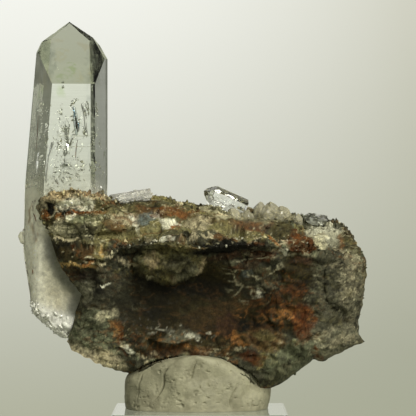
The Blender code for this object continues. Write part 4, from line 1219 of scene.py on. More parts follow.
def tall_wear(points):
    """Eased and gently bulging lower edges, small nicks, and a foot that is chipped inwards."""
    low = step_up(70.0 - points[:, 2], 0.0, 14.0)[:, None]
    points = points + ease_edges(points, tall_planes(), EASED_RADIUS) * low
    bulge = rough_noise(points, 6.0, 597, 3)[:, None] * 0.28 * low
    away = unit(points - np.array((PRISM_AXIS[0] - 3.0, PRISM_AXIS[1], 45.0)))
    broken = step_up(BROKEN_Z - points[:, 2], 0.0, 3.0)
    chips = chip_relief(points, 2.2, 0.35, 0.5, 601) + chip_relief(points, 0.8, 0.12, 0.4, 611)
    nicks = step_up(rough_noise(points, 1.4, 620, 2), 0.45, 0.9) * 0.10
    push = -np.abs(chips) * broken - nicks * step_up(points[:, 2], 40.0, 50.0)
    return points + away * (push[:, None] + bulge)


# Middle of the bright chipped face at the foot: X and Z
CHIP_FACE = (-33.2, 33.6)
# Tones of the milky lower part, of its foot and of the mottled tip, as linear colours; lit is
# painted light for the milk's left side, and glassy_shade is painted shade for the band beside the
# rock
MILK_TONES = {"even": (0.66, 0.625, 0.475), "dull": (0.44, 0.40, 0.28),
              "snowy": (0.88, 0.85, 0.70), "glassy_shade": (0.05, 0.055, 0.045),
              "broken": (0.92, 0.91, 0.84), "lit": (1.0, 0.98, 0.84),
              "mottled": (0.36, 0.38, 0.34)}


def under_edge(points, edge_z):
    """How far each point lies below the broken foot's slanting edge, whose height is edge_z
    where X is -36."""
    return edge_z - points[:, 2] - 0.35 * (points[:, 0] + 36.0)


def tall_zones(where, facing):
    """Shares from 0 to 1 of the tall crystal's milk, mottled tip, dull tip edge, band beside the
    rock that painted shade darkens, and broken foot."""
    mist = step_up(MILK_Z - where[:, 2] + 3 * smooth_noise(where, 6.0, 630), 0.0, 20.0)
    tip = step_up(where[:, 2], TIP_Z, TIP_Z + 4.0)
    mottled = tip * step_up(np.abs(where[:, 0] - TIP_X), 3.6, 5.2)
    mottled = mottled * step_up(rough_noise(where, 2.4, 637, 3), -0.5, 0.5)
    edge = tip * step_up(facing[:, 0], 0.30, 0.55)
    left_x, left_z = zip(*ROCK_LEFT)
    beside = np.interp(where[:, 2], left_z, left_x) - where[:, 0]
    # Band on the front beside the rock, darkened by painted shade
    glassy_shade = GLASSY_SHADE_WIDTH - beside + 0.8 * smooth_noise(where, 2.0, 639)
    glassy_shade = step_up(glassy_shade, 0.0, GLASSY_SHADE_WIDTH - 1.0)
    glassy_shade = glassy_shade * step_up(58.0 - where[:, 2], 0.0, 4.0) * (where[:, 1] < 1.0)
    broken = step_up(under_edge(where, BROKEN_Z), 0.0, 2.0)
    return mist, mottled, edge, glassy_shade, broken


def tall_stain_and_shading(where, mist, mottled, glassy_shade, broken):
    """Colour of each point of the tall crystal: its milk in three tones, painted light on its left
    side and painted shade beside the rock, then its stains.
    """
    milk = rough_noise(where, 2.2, 638, 4)
    # Painted light on the milky part's left side
    leftward = step_up(-37.0 - where[:, 0], 0.0, 4.5)
    stain_and_shading = np.array(QUARTZ_TINT) * np.ones((len(where), 1))
    for tone, share in (("mottled", mottled * (where[:, 1] < 1.0) * 0.75), ("even", mist),
                        ("dull", mist * step_up(milk, 0.0, 0.9) * 0.8),
                        ("snowy", mist * step_up(-milk, 0.0, 0.9) * 0.8),
                        # the lit tone is painted light on the left side, the glassy_shade tone
                        # painted shade beside the rock
                        ("lit", mist * leftward * 0.9), ("glassy_shade", glassy_shade * 0.9),
                        ("broken", broken)):
        stain_and_shading = blend(stain_and_shading, np.array(MILK_TONES[tone]), share)
    frayed = fray(where)
    patchy = step_up(rough_noise(where, 0.8, 640, 2), -0.5, 0.3) * (where[:, 1] < 2.0)
    for patch in STAINS:
        stain_and_shading = blend(stain_and_shading, np.array(STAIN_TONES[patch[0]]), patch_share(frayed, patch) * patchy)
    return stain_and_shading


def splinters(name, centres, lean, seed, flatness, material):
    """Flat splinters of broken quartz, most of them small."""
    size = 0.22 + 0.75 * numbers(len(centres), seed)[:, None] ** 2
    sizes = np.concatenate([size, size * 0.6], axis=1)
    flake_cloud(name, centres, lean, sizes, flatness, material)


def tall_piece():
    """The tall crystal: clear above, milky below, stained beside the crust, with a broken foot
    that bears splinters and one bright chipped face."""
    mesh = crystal_mesh("tall_quartz", tall_planes(), 0.6, 26, tall_wear)
    where, facing = mesh_points(mesh), mesh_normals(mesh)
    mist, mottled, edge, glassy_shade, broken = tall_zones(where, facing)
    frost = mist * np.clip(0.52 + 0.10 * rough_noise(where, 4.0, 635, 3), 0, 0.75)
    frost = np.maximum(frost, 0.62 * broken)
    grade(mesh, "frost", frost + 0.06 * mottled + 0.10 * edge)
    # Its colours hold painted light on the left side and painted shade beside the rock, besides its
    # milk and stains
    paint(mesh, "stain_and_shading", tall_stain_and_shading(where, mist, mottled, glassy_shade, broken))
    shade(mesh, 12)
    finish = quartz_material("clear_quartz_look", QUARTZ_TINT, 0.0, 42.0, 0.00004, painted=True)
    piece("tall_quartz", mesh, finish, ("quartz_crystal",))
    chosen = (broken > 0.5) & (numbers(len(where), 650) < 0.30)
    facing = facing[chosen]
    lean = facing + scattered(len(facing), (-0.7, -0.7, -0.7), (0.7, 0.7, 0.7), 657)
    ice = plain_material("broken_foot_look", (250, 250, 240), 0.16, Transmission_Weight=0.3,
                         IOR=1.5)
    splinters("foot_shards", where[chosen] - facing * 0.04, lean, 655, 0.22, ice)
    chip_x, chip_z = CHIP_FACE
    chip_y = crystal_front(chip_x, chip_z) + 0.25
    flake_cloud("foot_chip", np.array([(chip_x, chip_y, chip_z)]), np.array([(0.10, -0.95, 0.30)]),
                np.array([(2.5, 1.3)]), 0.10, ice)


# Stains on the tall crystal's front: tone, X, Z, half width, half height, tilt, strength
STAIN_TONES = {"brown": (0.30, 0.17, 0.07), "straw": (0.93, 0.86, 0.64),
               "moss": (0.62, 0.78, 0.44),
               "slate": (0.44, 0.48, 0.48), "tan": (0.88, 0.80, 0.66)}
STAINS = (
    ("brown", -41.4, 59.5, 0.45, 4.2, 4, 0.85), ("brown", -41.0, 54.6, 0.5, 0.5, 0, 0.95),
    ("brown", -41.6, 46.3, 0.4, 0.45, 0, 0.9), ("straw", -41.6, 48.2, 0.3, 1.2, 0, 0.7),
    ("slate", -37.9, 101.0, 1.3, 3.6, 8, 0.75), ("slate", -37.2, 96.0, 1.0, 2.8, -20, 0.7),
    ("slate", -39.6, 99.5, 0.9, 2.6, 20, 0.5), ("slate", -27.2, 89.6, 1.6, 1.8, 0, 0.6),
    ("slate", -27.6, 99.6, 1.8, 0.5, -15, 0.6), ("slate", -27.5, 82.0, 1.5, 11.0, 0, 0.30),
    ("slate", -28.4, 97.2, 0.6, 2.4, 0, 0.35),
    ("tan", -29.4, 104.2, 2.2, 1.4, -42, 0.8), ("tan", -35.6, 105.2, 2.6, 0.9, 38, 0.6),
    ("straw", -35.0, 100.5, 2.4, 1.8, 20, 0.6), ("straw", -38.2, 94.0, 1.6, 2.6, 0, 0.6),
    ("moss", -32.6, 96.6, 1.8, 1.4, 30, 0.9), ("moss", -34.6, 94.6, 1.4, 1.6, 0, 0.7),
    ("straw", -30.0, 95.2, 1.6, 1.2, 0, 0.6), ("moss", -34.4, 90.6, 1.6, 1.6, 0, 0.7),
    ("moss", -39.4, 91.0, 1.2, 2.2, 0, 0.6), ("straw", -26.6, 96.4, 0.9, 1.2, 0, 0.7),
)


def inside(points, planes, margin):
    """Whether each point lies inside the planes by at least the margin."""
    return np.all(points @ planes[:, :3].T < planes[:, 3] - margin, axis=1)


def scattered(count, low, high, seed):
    """Repeatable scattered points in a box, from lattice numbers."""
    index = np.arange(count)
    share = lattice_vectors(np.stack([index, index // 7, index * 0], axis=-1), seed)
    return np.array(low) + (np.array(high) - np.array(low)) * share


def numbers(count, seed):
    """Repeatable numbers from 0 to 1."""
    index = np.arange(count)
    return lattice(np.stack([index, index // 5, index * 0], axis=-1), seed)


def flake_cloud(name, centres, normals, sizes, flatness, material):
    """Many flat lenses, each one eight-sided, scaled and turned for its own centre."""
    turn = ring_angles(8)[:, 0]
    lens = np.concatenate([np.stack([np.cos(turn), np.sin(turn), 0 * turn], axis=-1),
                           [[0, 0, flatness], [0, 0, -flatness]]])
    ring = np.arange(8)
    upper = np.stack([ring, (ring + 1) % 8, np.full(8, 8)], axis=-1)
    lower = np.stack([(ring + 1) % 8, ring, np.full(8, 9)], axis=-1)
    normals = unit(normals)
    side, other = square_pair(normals, (0.3, 0.9, 0.2))
    basis = np.stack([side * sizes[:, :1], other * sizes[:, 1:2], normals * sizes[:, :1]], axis=1)
    points = np.einsum("pk,nkj->npj", lens, basis) + centres[:, None]
    faces = np.concatenate([upper, lower])[None] + (np.arange(len(centres)) * 10)[:, None, None]
    mesh = make_mesh(name, points.reshape(-1, 3), faces.reshape(-1, 3))
    piece(name, mesh, material)


def spindle(name, low, high, radius, bend, material, rough=0.0, seed=0):
    """Thin body from one end to the other: round sections that swell as a half ellipse."""
    around = ring_angles(24)
    part = np.linspace(0, 1, 41)[None, :]
    low, high = np.array(low, dtype=float), np.array(high, dtype=float)
    side, other = square_pair(unit(high - low), (0.2, 1.0, 0.1))
    bulge = radius * np.sqrt(np.clip(1 - (2 * part - 1) ** 2, 0, 1)) + 0.003
    bow = bend * np.sin(part * math.pi)
    middle = low + (high - low) * part[..., None] + side * bow[..., None]
    ring = np.cos(around)[..., None] * side + np.sin(around)[..., None] * other
    points = middle + ring * bulge[..., None]
    if rough:
        points = points + ring * (smooth_noise(points, 0.8, seed) * rough)[..., None]
    mesh = make_mesh(name, points.reshape(-1, 3), grid_quads(24, 40, wrap=True))
    mesh.shade_smooth()
    piece(name, mesh, material)


def hung_frame(facing):
    """Unit facing of a hanging sheet, with its level side and its rise."""
    facing = unit(np.array(facing))
    side = unit(np.cross(facing, (0.0, 0.0, 1.0)))
    return facing, side, np.cross(side, facing)


def fracture_sheet(name, centre, across, up, facing, wave, material):
    """Thin curved gap: across and up from -1 to 1; its two sides part most in the middle."""
    facing, side, rise = hung_frame(facing)
    around = ring_angles(64)
    reach = np.linspace(0, 1, 25)[None, :]
    ragged = 1 + 0.16 * np.sin(5 * around + wave) + 0.10 * np.sin(11 * around + 2 * wave)
    u, v = reach * np.cos(around) * ragged, reach * np.sin(around) * ragged
    sway = wave * 0.5 * np.sin(2.2 * u + wave) * np.cos(1.7 * v)
    middle = (np.array(centre) + side * (u * across)[..., None] + rise * (v * up)[..., None]
              + facing * sway[..., None])
    middle = middle + facing * (0.12 * rough_noise(middle, 1.6, 680, 2))[..., None]
    half = (0.035 * np.sqrt(np.clip(1 - reach ** 2, 0, 1)) + 0 * around)[..., None] * facing
    points = np.concatenate([(middle + half).reshape(-1, 3), (middle - half).reshape(-1, 3)])
    mesh = weld(make_mesh(name, points, two_sided(grid_quads(64, 24, wrap=True), 64 * 25)))
    mesh.shade_smooth()
    piece(name, mesh, material)


# Curved fractures: middle, half spans across and up, facing, how wavy
FRACTURES = (
    ((-34.6, -0.6, 80.5), 2.0, 5.6, (0.5, -0.85, 0.1), 1.3),
    ((-32.2, 0.6, 76.0), 2.6, 4.6, (-0.6, -0.8, 0.3), 0.9),
    ((-33.0, -1.5, 71.0), 3.2, 3.0, (0.2, -0.8, 0.6), 1.1),
    ((-37.6, -0.5, 73.5), 1.8, 5.0, (-0.7, -0.7, 0.2), 1.4),
    ((-29.2, -0.5, 84.0), 1.3, 4.0, (0.75, -0.65, 0.1), 0.8),
)


# Healed fractures in the tall crystal: middle, half spans across and up, facing, count
VEILS = (
    ((-33.6, -2.0, 86.0), 1.6, 7.0, (0.55, -0.8, 0.10), 260),
    ((-31.4, 0.5, 84.0), 1.4, 5.5, (-0.5, -0.8, 0.2), 220),
    ((-28.6, -1.0, 84.5), 1.2, 4.5, (0.8, -0.6, 0.2), 200),
    ((-34.4, 0.0, 76.0), 2.6, 6.5, (0.4, -0.9, 0.3), 130),
    ((-37.8, -1.0, 80.0), 1.2, 8.0, (-0.7, -0.7, 0.1), 170),
    ((-33.0, 1.5, 72.0), 4.0, 3.0, (0.1, -0.9, 0.6), 110),
    ((-38.5, 0.0, 71.0), 2.6, 5.0, (-0.5, -0.8, 0.3), 90),
    ((-28.0, 0.5, 75.0), 1.2, 6.0, (0.7, -0.7, 0.0), 120),
)


def veil_points(centre, across, up, facing, count, seed):
    """Scattered centres on a curved sheet: across and up shares, bulging as their sines."""
    facing, side, rise = hung_frame(facing)
    u = numbers(count, seed) * 2 - 1
    v = numbers(count, seed + 1) * 2 - 1
    bulge = np.sin(2.4 * u + seed) * 0.35 * across + np.sin(2.1 * v + seed * 0.7) * 0.9
    return (np.array(centre) + side * (u * across * (1 - 0.5 * np.abs(v)))[:, None]
            + rise * (v * up)[:, None] + facing * bulge[:, None]), facing


def veils(planes, gap, white):
    """Healed fractures: flat gaps and specks, in clumps, scattered on curved sheets."""
    centres, normals, sizes = [], [], []
    for number, (centre, across, up, facing, count) in enumerate(VEILS):
        spots, out = veil_points(centre, across, up, facing, count, 700 + number * 9)
        tilt = scattered(count, (-0.2, -0.2, -0.2), (0.2, 0.2, 0.2), 760 + number * 5)
        centres.append(spots)
        normals.append(out + tilt)
        grow = numbers(count, 770 + number) ** 3
        sizes.append(np.stack([0.07 + 0.50 * grow, 0.05 + 0.22 * grow], axis=-1))
    centres, normals, sizes = (np.concatenate(part) for part in (centres, normals, sizes))
    clumps = step_up(rough_noise(centres, 2.2, 790, 3), -0.25, 0.25)
    kept = inside(centres, planes, 0.7) & (numbers(len(centres), 795) < clumps)
    odd = np.arange(len(centres)) % 3 == 0
    for name, chosen, finish in (("veil_gaps", kept & ~odd, gap),
                                 ("veil_specks", kept & odd, white)):
        flake_cloud(name, centres[chosen], normals[chosen], sizes[chosen], 0.10, finish)


# Flakes tried, and the box they are tried in, for the haze and for the broken foot
HAZE_TRIES = (52000, (-46, -10, 56), (-23, 10, 80))
FOOT_TRIES = (9000, (-46, -10, 29), (-28, 10, 39))


def milky_haze(planes, white):
    """Haze of small flakes that thickens towards the foot and to the left."""
    spots = scattered(*HAZE_TRIES, 800)
    chance = step_up(80.0 - spots[:, 2], 0.0, 22.0) ** 2.2
    chance = chance * (0.55 + 0.45 * step_up(rough_noise(spots, 4.0, 810, 2), -0.5, 0.5))
    chance = chance * (1 + 0.8 * step_up(-36.0 - spots[:, 0], -2.0, 4.0))
    spots = spots[inside(spots, planes, 0.45) & (numbers(len(spots), 820) < chance * 0.03)]
    size = 0.16 + 0.22 * numbers(len(spots), 830)[:, None]
    lean = scattered(len(spots), (-1, -1, -1), (1, 1, 1), 840)
    flake_cloud("milky_haze", spots, lean, np.concatenate([size, size * 0.7], axis=1), 0.2, white)


def broken_foot(planes):
    """White broken quartz inside the foot."""
    shards = plain_material("broken_quartz_look", (250, 250, 236), 0.35,
                            Transmission_Weight=0.35, IOR=1.3)
    spots = scattered(*FOOT_TRIES, 870)
    low = step_up(under_edge(spots, 37.5), 0.0, 3.0)
    spots = spots[inside(spots, planes, 0.35) & (numbers(len(spots), 880) < low * 0.30)]
    lean = scattered(len(spots), (-1, -1, -1), (1, 1, 1), 890)
    splinters("broken_shards", spots, lean, 885, 0.2, shards)


def crystal_insides():
    """Everything grown or trapped inside the tall crystal, stand-ins for painted shade, highlights
    and fracture reflections, and films on its front.
    """
    planes = tall_planes()
    gap = plain_material("air_gap_look", (255, 255, 255), 0.03, Transmission_Weight=1.0,
                         IOR=1 / QUARTZ_IOR)
    white = plain_material("milky_veil_look", (236, 234, 214), 0.5, Transmission_Weight=0.55,
                           IOR=1.25)
    thin = plain_material("thin_gap_look", (255, 255, 255), 0.06, Transmission_Weight=1.0,
                          IOR=0.80)
    water = plain_material("trapped_water_look", (235, 242, 248), 0.0, Transmission_Weight=1.0,
                           IOR=WATER_IOR / QUARTZ_IOR)
    # A dark body and blue slivers stand in for the water pocket's painted shade and painted
    # highlights
    dark = plain_material("pocket_shade_look", (52, 46, 38), 0.25)
    blue = plain_material("blue_highlight_look", (120, 150, 178), 0.12, Metallic=0.9)
    rusty = plain_material("rusty_thread_look", (104, 72, 38), 0.6)
    pale = plain_material("growth_line_look", (245, 245, 230), 0.5, Transmission_Weight=0.6,
                          IOR=1.2)
    # Dull white flakes painted as the bright reflections of fractures
    flash = plain_material("fracture_flash_look", (255, 255, 250), 0.3)

    veils(planes, gap, white)
    for number, measures in enumerate(FRACTURES):
        fracture_sheet(f"fracture_{number}", *measures, thin)
    milky_haze(planes, white)
    broken_foot(planes)
    finishes = {"white": white, "water": water, "gap": gap, "dark": dark, "blue": blue,
                "rusty": rusty}
    for name, low, high, radius, bend, finish, rough, seed in INCLUSIONS:
        spindle(name, low, high, radius, bend, finishes[finish], rough, seed)
    for number, (left, right, height, radius) in enumerate(GROWTH_LINES):
        low = (left, crystal_front(left, height) + 0.35, height)
        high = (right, crystal_front(right, height) + 0.35, height)
        spindle(f"growth_line_{number}", low, high, radius, 0.0, pale)
    for number, (start_x, start_z, end_x, end_z, radius) in enumerate(FILMS):
        low = (start_x, crystal_front(start_x, start_z) + 0.2, start_z)
        high = (end_x, crystal_front(end_x, end_z) + 0.2, end_z)
        spindle(f"rusty_film_{number}", low, high, radius, 0.2, rusty, 0.15, 930 + number)
    spots, lean, sizes = (np.array(column) for column in zip(*FLASHES))
    flake_cloud("fracture_flashes", spots, lean, sizes, 0.12, flash)


# The side tab, then the water pocket, its gas bubble, a dark body for its painted shade, blue
# slivers for its painted highlights, and the rusty growths beside it:
# name, both ends, radius, bow, finish, roughness in mm, seed
INCLUSIONS = (
    ("side_tab", (-44.0, -0.5, 53.2), (-44.8, -0.5, 56.4), 0.80, 0.0, "white", 0.25, 897),
    ("water_pocket", (-31.6, -1.6, 87.6), (-30.9, -1.9, 80.2), 0.62, 0.15, "water", 0.12, 901),
    ("pocket_bubble", (-31.5, -1.7, 86.6), (-31.35, -1.7, 85.4), 0.40, 0.0, "gap", 0.0, 0),
    # painted shade of the pocket, then its painted highlights
    ("pocket_shade", (-31.3, -0.9, 85.2), (-30.7, -1.0, 81.0), 0.48, 0.2, "dark", 0.25, 905),
    ("blue_highlight", (-32.0, -2.3, 87.4), (-31.3, -2.4, 84.8), 0.16, 0.2, "blue", 0.0, 0),
    ("blue_highlight_low", (-30.6, -2.2, 83.8), (-30.4, -2.3, 82.2), 0.13, 0.1, "blue", 0.0, 0),
    ("rusty_thread", (-40.2, -3.0, 85.6), (-40.6, -3.2, 76.0), 0.11, 0.25, "rusty", 0.0, 0),
    ("rusty_smear", (-30.4, -4.5, 79.4), (-30.9, -4.5, 73.9), 0.10, -0.2, "rusty", 0.0, 0),
)
# White flakes that stand in for bright fracture reflections, as painted reflections: middle, the
# way they face, half length and half width
FLASHES = (
    ((-39.0, -4.2, 75.0), (-0.5, -0.8, 0.4), (1.25, 0.45)),
    ((-39.5, -4.2, 74.2), (-0.4, -0.9, 0.3), (0.75, 0.38)),
    ((-35.9, -6.0, 69.4), (0.6, -0.8, 0.4), (1.15, 0.40)),
    ((-35.5, -6.0, 68.6), (0.5, -0.8, 0.5), (0.70, 0.32)),
    ((-38.9, -4.0, 85.6), (-0.3, -1.0, 0.2), (0.5, 0.14)),
    ((-24.6, -3.5, 67.4), (0.3, -0.9, 0.2), (0.4, 0.25)),
    ((-33.0, -5.6, 33.5), (0.1, -0.9, 0.4), (0.6, 0.3)),
    ((2.9, -3.7, 64.9), (0.2, -0.8, 0.5), (0.9, 0.55)),
)


# Rusty films that lie in the tall crystal's surface: X, Z at both ends, radius
FILMS = ((-41.6, 64.0, -41.1, 56.2, 0.20), (-41.0, 56.4, -40.8, 54.2, 0.34),
         (-40.4, 66.0, -41.6, 61.6, 0.15), (-41.7, 47.2, -41.5, 45.8, 0.18),
         (-41.3, 61.0, -40.3, 58.2, 0.18))
# Level growth lines on its front: X at both ends, Z, radius
GROWTH_LINES = ((-35.8, -25.9, 80.1, 0.075), (-35.6, -26.2, 77.5, 0.06))


# Small crystals on the crest: foot, tip, width, turn in degrees, flattening
TILTED = (((11.2, -0.8, 62.0), (0.9, -2.8, 66.6), 4.3, 42.0, 0.95),)
LYING = (((-12.2, -2.6, 65.7), (-23.6, -4.6, 63.8), 2.5, 20.0, 0.75),
         ((-13.0, -3.4, 66.2), (-21.0, -4.6, 64.8), 1.3, 40.0, 0.7),
         ((-11.8, -2.2, 65.4), (-17.0, -2.8, 66.3), 1.2, 10.0, 0.8),)
END = (((31.6, -1.0, 58.9), (25.6, -2.0, 60.0), 2.7, 8.0, 0.85),)
CLUSTER = (
    ((14.9, 0.4, 59.6), (15.1, -0.2, 64.1), 3.2, 5.0, 0.9),
    ((18.0, 0.0, 59.8), (17.5, -1.0, 64.0), 4.2, 25.0, 0.9),
    ((21.2, -0.4, 60.0), (19.8, -1.2, 62.9), 3.2, 15.0, 0.9),
    ((16.4, -1.2, 59.8), (16.8, -2.2, 63.2), 3.4, 45.0, 0.9),
    ((19.6, -1.2, 59.6), (20.8, -1.8, 62.2), 2.8, 35.0, 0.9),
)
# Lumps of the same milky quartz beside the cluster
LUMPS = (
    ((8.6, -3.4, 59.4), (7.6, -5.0, 62.4), 3.2, 20.0, 0.9),
    ((11.6, -3.0, 59.4), (12.2, -4.2, 62.0), 3.0, 45.0, 0.9),
    ((24.2, -1.8, 58.0), (24.4, -2.8, 61.0), 2.4, 10.0, 0.9),
)


def small_piece(name, crystals, wear, material, nodes=()):
    """Small crystals joined in one piece that stands for their node, a little chipped."""
    points, faces, first = [], [], 0
    for number, measures in enumerate(crystals):
        single = crystal_mesh(name, small_planes(*measures), 0.3, 8)
        where = mesh_points(single)
        away = unit(where - where.mean(axis=0))
        chips = chip_relief(where, 1.7, 0.9, 0.7, 960 + number)
        chips = chips + 0.15 * rough_noise(where, 0.6, 970 + number, 2)
        form = bmesh.new()
        form.from_mesh(single)
        bmesh.ops.triangulate(form, faces=form.faces)
        corners = np.array([[point.index for point in face.verts] for face in form.faces])
        form.free()
        points.append(where - away * (np.abs(chips) * wear)[:, None])
        faces.append(corners + first)
        first += len(where)
    mesh = make_mesh(name, np.concatenate(points), np.concatenate(faces))
    shade(mesh, 14)
    piece(name, mesh, material, nodes)


def crumbs(name, centres, sizes, colours, material, seed, tall):
    """Many small angular grains: a closed lump of six sides and four bands, bent by noise,
    and stretched upwards where tall is over 1."""
    around = ring_angles(6)
    up = np.linspace(-math.pi / 2, math.pi / 2, 5)[None, :]
    lump = np.stack([np.cos(around) * np.cos(up), np.sin(around) * np.cos(up),
                     np.sin(up) + 0 * around], axis=-1).reshape(-1, 3)
    pull = np.stack([numbers(len(centres) * len(lump), seed + axis) for axis in range(3)],
                    axis=-1).reshape(len(centres), -1, 3)
    stretch = np.stack([numbers(len(centres), seed + 5 + axis) for axis in range(3)], axis=-1)
    stretch = (0.5 + stretch) * np.stack([tall ** -0.3, tall ** -0.3, tall], axis=-1)
    shape = lump[None] * (0.45 + 1.1 * pull) * (stretch * sizes[:, None])[:, None]
    faces = grid_quads(6, 4, wrap=True)[None] + (np.arange(len(centres)) * len(lump))[:, None, None]
    mesh = make_mesh(name, (centres[:, None] + shape).reshape(-1, 3), faces.reshape(-1, 4))
    paint(mesh, "mineral", np.repeat(colours, len(lump), axis=0))
    piece(name, mesh, material)


def rock_crumbs(rock, stone):
    """Grains that stand on the rock: ragged crest and crust, sparkling lip, quartz dots."""
    where, facing = mesh_points(rock), mesh_normals(rock)
    x, z = where[:, 0], where[:, 2]
    above_lip = z - curve(LIP_Z, x)
    front = where[:, 1] < curve(CREST_Y, x) + 1.5
    crest_share = front * step_up(z - curve(ROCK_TOP, x), -1.6, 0.0)
    crest = crest_share * 0.32
    lip = front * (1 - step_up(np.abs(above_lip - 0.6), 0.5, 1.6))
    crust = front * (x < -22) * step_up(z - 58.0, 0.0, 2.0) * 0.10
    slope = front * (above_lip > 0) * 0.022
    ends = front * step_up(x, 33.0, 37.0) * 0.02
    low = front * step_up(27.0 - z, 0.0, 5.0) * 0.012
    stone_chance = 0.50 * (crest + lip * 0.16 + crust + slope + ends + low)
    quartz_chance = 0.08 * (crest * 0.4 + lip * 0.12 + crust + (slope + ends) * 0.3)
    painted = np.empty(len(where) * 4, dtype=np.float32)
    rock.attributes["mineral"].data.foreach_get("color", painted)
    painted = painted.reshape(-1, 4)[:, :3]
    gleam = plain_material("quartz_grain_look", (214, 211, 186), 0.16,
                           Transmission_Weight=0.55, IOR=1.5)
    for name, chance, seed, finish, scale in (("rock_grains", stone_chance, 1001, stone, 0.30),
                                              ("quartz_grains", quartz_chance, 1011, gleam, 0.20)):
        chosen = numbers(len(where), seed) < chance
        centres = where[chosen] + facing[chosen] * 0.04
        size = scale * (0.40 + 1.1 * numbers(len(centres), 1031) ** 3)
        lift = 0.6 + 1.1 * numbers(len(centres), 1035)[:, None] ** 2
        crumbs(name, centres, size, np.clip(painted[chosen] * lift, 0, 0.6), finish, 1041,
               1 + 0.25 * crest_share[chosen])


# Stage

BACKDROP_Y = 1500.0
BEND_RADIUS = 500.0
SWEEP_HALF_WIDTH = 1800.0
# How far the paper runs on the floor before the specimen, and along the bend and the wall
FLOOR_BEFORE = 1200.0
WALL_RUN = 1400.0
# Display tones of the painted light at the backdrop's corners: upper left, upper right, lower left,
# lower right
CORNER_TONES = ((248, 249, 242), (209, 209, 194), (171, 173, 153), (158, 161, 140))


def backdrop_painted_light(points):
    """Painted light of the glowing paper: brightness that fades from the upper left to the lower
    right, as paper lit from there, with painted shade far to the sides behind.
    """
    span = (points[:, 1] - CAMERA_AT[1]) / -CAMERA_AT[1] * VIEW_WIDTH / 2
    right = np.clip((points[:, 0] - CAMERA_AT[0]) / span, -1, 1) * 0.5 + 0.5
    down = np.clip((CAMERA_AT[2] - points[:, 2]) / span, -1, 1) * 0.5 + 0.5
    tones = [linear(tone) for tone in CORNER_TONES]
    bend = (right ** 2.1)[:, None]
    top = tones[0] * (1 - bend) + tones[1] * bend
    low = tones[2] * (1 - right[:, None]) + tones[3] * right[:, None]
    fall = (down ** 1.05)[:, None]
    # Painted shade far to the sides behind the specimen
    sides = step_up(np.abs(points[:, 0] - CAMERA_AT[0]) / span, 2.2, 4.5)[:, None]
    behind = step_up(points[:, 1], 100.0, 600.0)[:, None]
    return (top * (1 - fall) + low * fall) * (1 - 0.62 * sides * behind)


def make_stage():
    """One sheet of pale paper that glows with its painted light and shade: level floor, a wide
    bend, and a wall far behind.
    """
    columns, rows = 120, 160
    across = np.linspace(-SWEEP_HALF_WIDTH, SWEEP_HALF_WIDTH, columns + 1)[:, None]
    run = np.linspace(-FLOOR_BEFORE, BACKDROP_Y + WALL_RUN, rows + 1)[None, :]
    start = BACKDROP_Y - BEND_RADIUS
    turn = np.clip((run - start) / BEND_RADIUS, 0, math.pi / 2)
    rise = np.clip(run - start - BEND_RADIUS * math.pi / 2, 0, None)
    y = np.minimum(run, start) + np.sin(turn) * BEND_RADIUS
    z = (1 - np.cos(turn)) * BEND_RADIUS + rise
    points = np.stack(np.broadcast_arrays(across, y, z), axis=-1).reshape(-1, 3)
    mesh = make_mesh("paper_sweep", points, grid_quads(columns, rows))
    paint(mesh, "tone", backdrop_painted_light(points))
    mesh.shade_smooth()
    made, shader, tree = new_material("glowing_pale_paper")
    tone = add(tree, "ShaderNodeAttribute", attribute_name="tone")
    shader.inputs["Base Color"].default_value = (0.10, 0.10, 0.09, 1.0)
    shader.inputs["Roughness"].default_value = 1.0
    shader.inputs["Specular IOR Level"].default_value = 0.0
    # The paper glows with the painted light and shade of its tone
    tree.links.new(tone.outputs["Color"], shader.inputs["Emission Color"])
    shader.inputs["Emission Strength"].default_value = 0.93
    mesh.materials.append(made)
    sweep = bpy.data.objects.new("paper_sweep", mesh)
    bpy.context.scene.collection.objects.link(sweep)


# Softboxes: name, place, the point they are aimed at, size, power in watts, colour
SOFTBOXES = (
    ("key_above", (200, -350, 350), (0, 0, 50), (320, 240), 3.2, (1.0, 0.985, 0.88)),
    ("side_fill", (420, -420, 160), (0, 0, 40), (260, 260), 0.7, (1.0, 0.98, 0.88)),
)
# Display tone and strength of the pale surround
ROOM_TONE = (196, 198, 184)
ROOM_STRENGTH = 0.34


def soft_light(name, place, target, size, power, colour):
    """Rectangular softbox aimed at a point, all in mm."""
    data = bpy.data.lights.new(name, "AREA")
    data.shape = "RECTANGLE"
    data.size, data.size_y = size[0] * MM, size[1] * MM
    data.energy = power
    data.color = colour
    lamp = bpy.data.objects.new(name, data)
    lamp.location = Vector(place) * MM
    lamp.rotation_euler = (Vector(target) - Vector(place)).to_track_quat("-Z", "Y").to_euler()
    bpy.context.scene.collection.objects.link(lamp)


def make_camera():
    """Level camera with a long lens, framed as the photograph is."""
    data = bpy.data.cameras.new("camera")
    data.sensor_width = SENSOR
    data.lens = SENSOR * -CAMERA_AT[1] / VIEW_WIDTH
    data.clip_start, data.clip_end = 0.05, 20.0
    camera = bpy.data.objects.new("camera", data)
    camera.location = Vector(CAMERA_AT) * MM
    camera.rotation_euler = (math.radians(90), 0, 0)
    bpy.context.scene.collection.objects.link(camera)
    bpy.context.scene.camera = camera


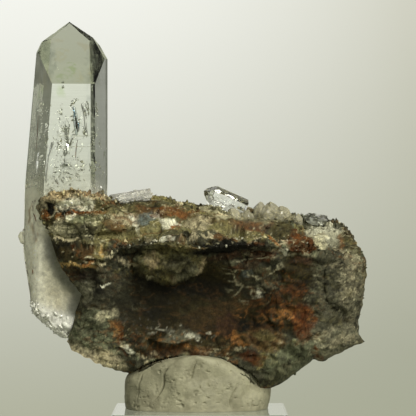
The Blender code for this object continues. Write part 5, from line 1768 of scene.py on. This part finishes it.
def make_lights():
    """Soft key from above, weaker fill from the right, and a pale even surround."""
    for measures in SOFTBOXES:
        soft_light(*measures)
    world = bpy.data.worlds.new("pale_room")
    world.use_nodes = True
    ground = world.node_tree.nodes["Background"]
    ground.inputs["Color"].default_value = (*linear(ROOM_TONE), 1.0)
    ground.inputs["Strength"].default_value = ROOM_STRENGTH
    bpy.context.scene.world = world
    bpy.context.scene.view_settings.view_transform = "Standard"


def crest_pieces():
    """The small crystals on the crest, each with its own finish."""
    small = quartz_material("small_quartz_look", (0.98, 0.985, 0.95), 0.08, 12.0, 0.00002)
    milky = plain_material("milky_quartz_look", (222, 217, 190), 0.26,
                           Transmission_Weight=0.72, IOR=QUARTZ_IOR)
    smoky = quartz_material("smoky_quartz_look", (0.50, 0.50, 0.46), 0.32, 160.0, 0.00002)
    streaky = quartz_material("streaky_quartz_look", (0.99, 0.98, 0.92), 0.22, 8.0, 0.00008,
                              clearness=0.80)
    small_piece("tilted_quartz", TILTED, 0.06, small, ("tilted_point",))
    small_piece("lying_quartz", LYING, 0.14, streaky, ("lying_point",))
    small_piece("end_quartz", END, 0.30, smoky, ("end_point",))
    small_piece("crest_quartz", CLUSTER, 0.20, milky, ("crest_cluster",))
    small_piece("crest_lumps", LUMPS, 0.28, milky)


def rock_pieces():
    """The rock's front and back with the tall crystal's socket, and the grains on it."""
    rock = cut_socket(rock_surface(), tall_planes())
    # The mineral colours also carry painted shade and painted glints, which the grains on the rock
    # take on
    paint(rock, "mineral", rock_colours(mesh_points(rock)))
    shade(rock, 75)
    stone = rock_material()
    for name, keep_front in (("rock_front", True), ("rock_back", False)):
        piece(name, half_of(rock, keep_front), stone, ("matrix_rock",))
    rock_crumbs(rock, stone)


def clear_block():
    """Acrylic finish on the block's own solid."""
    acrylic = plain_material("clear_acrylic_look", (250, 252, 252), 0.02,
                             Transmission_Weight=1.0, IOR=1.49)
    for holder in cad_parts["clear_base"].material_slots:
        holder.material = acrylic


def main():
    """Stage, camera, and every piece of the specimen."""
    make_camera()
    make_lights()
    make_stage()
    tall_piece()
    crystal_insides()
    rock_pieces()
    crest_pieces()
    clear_block()
    putty_piece()


main()
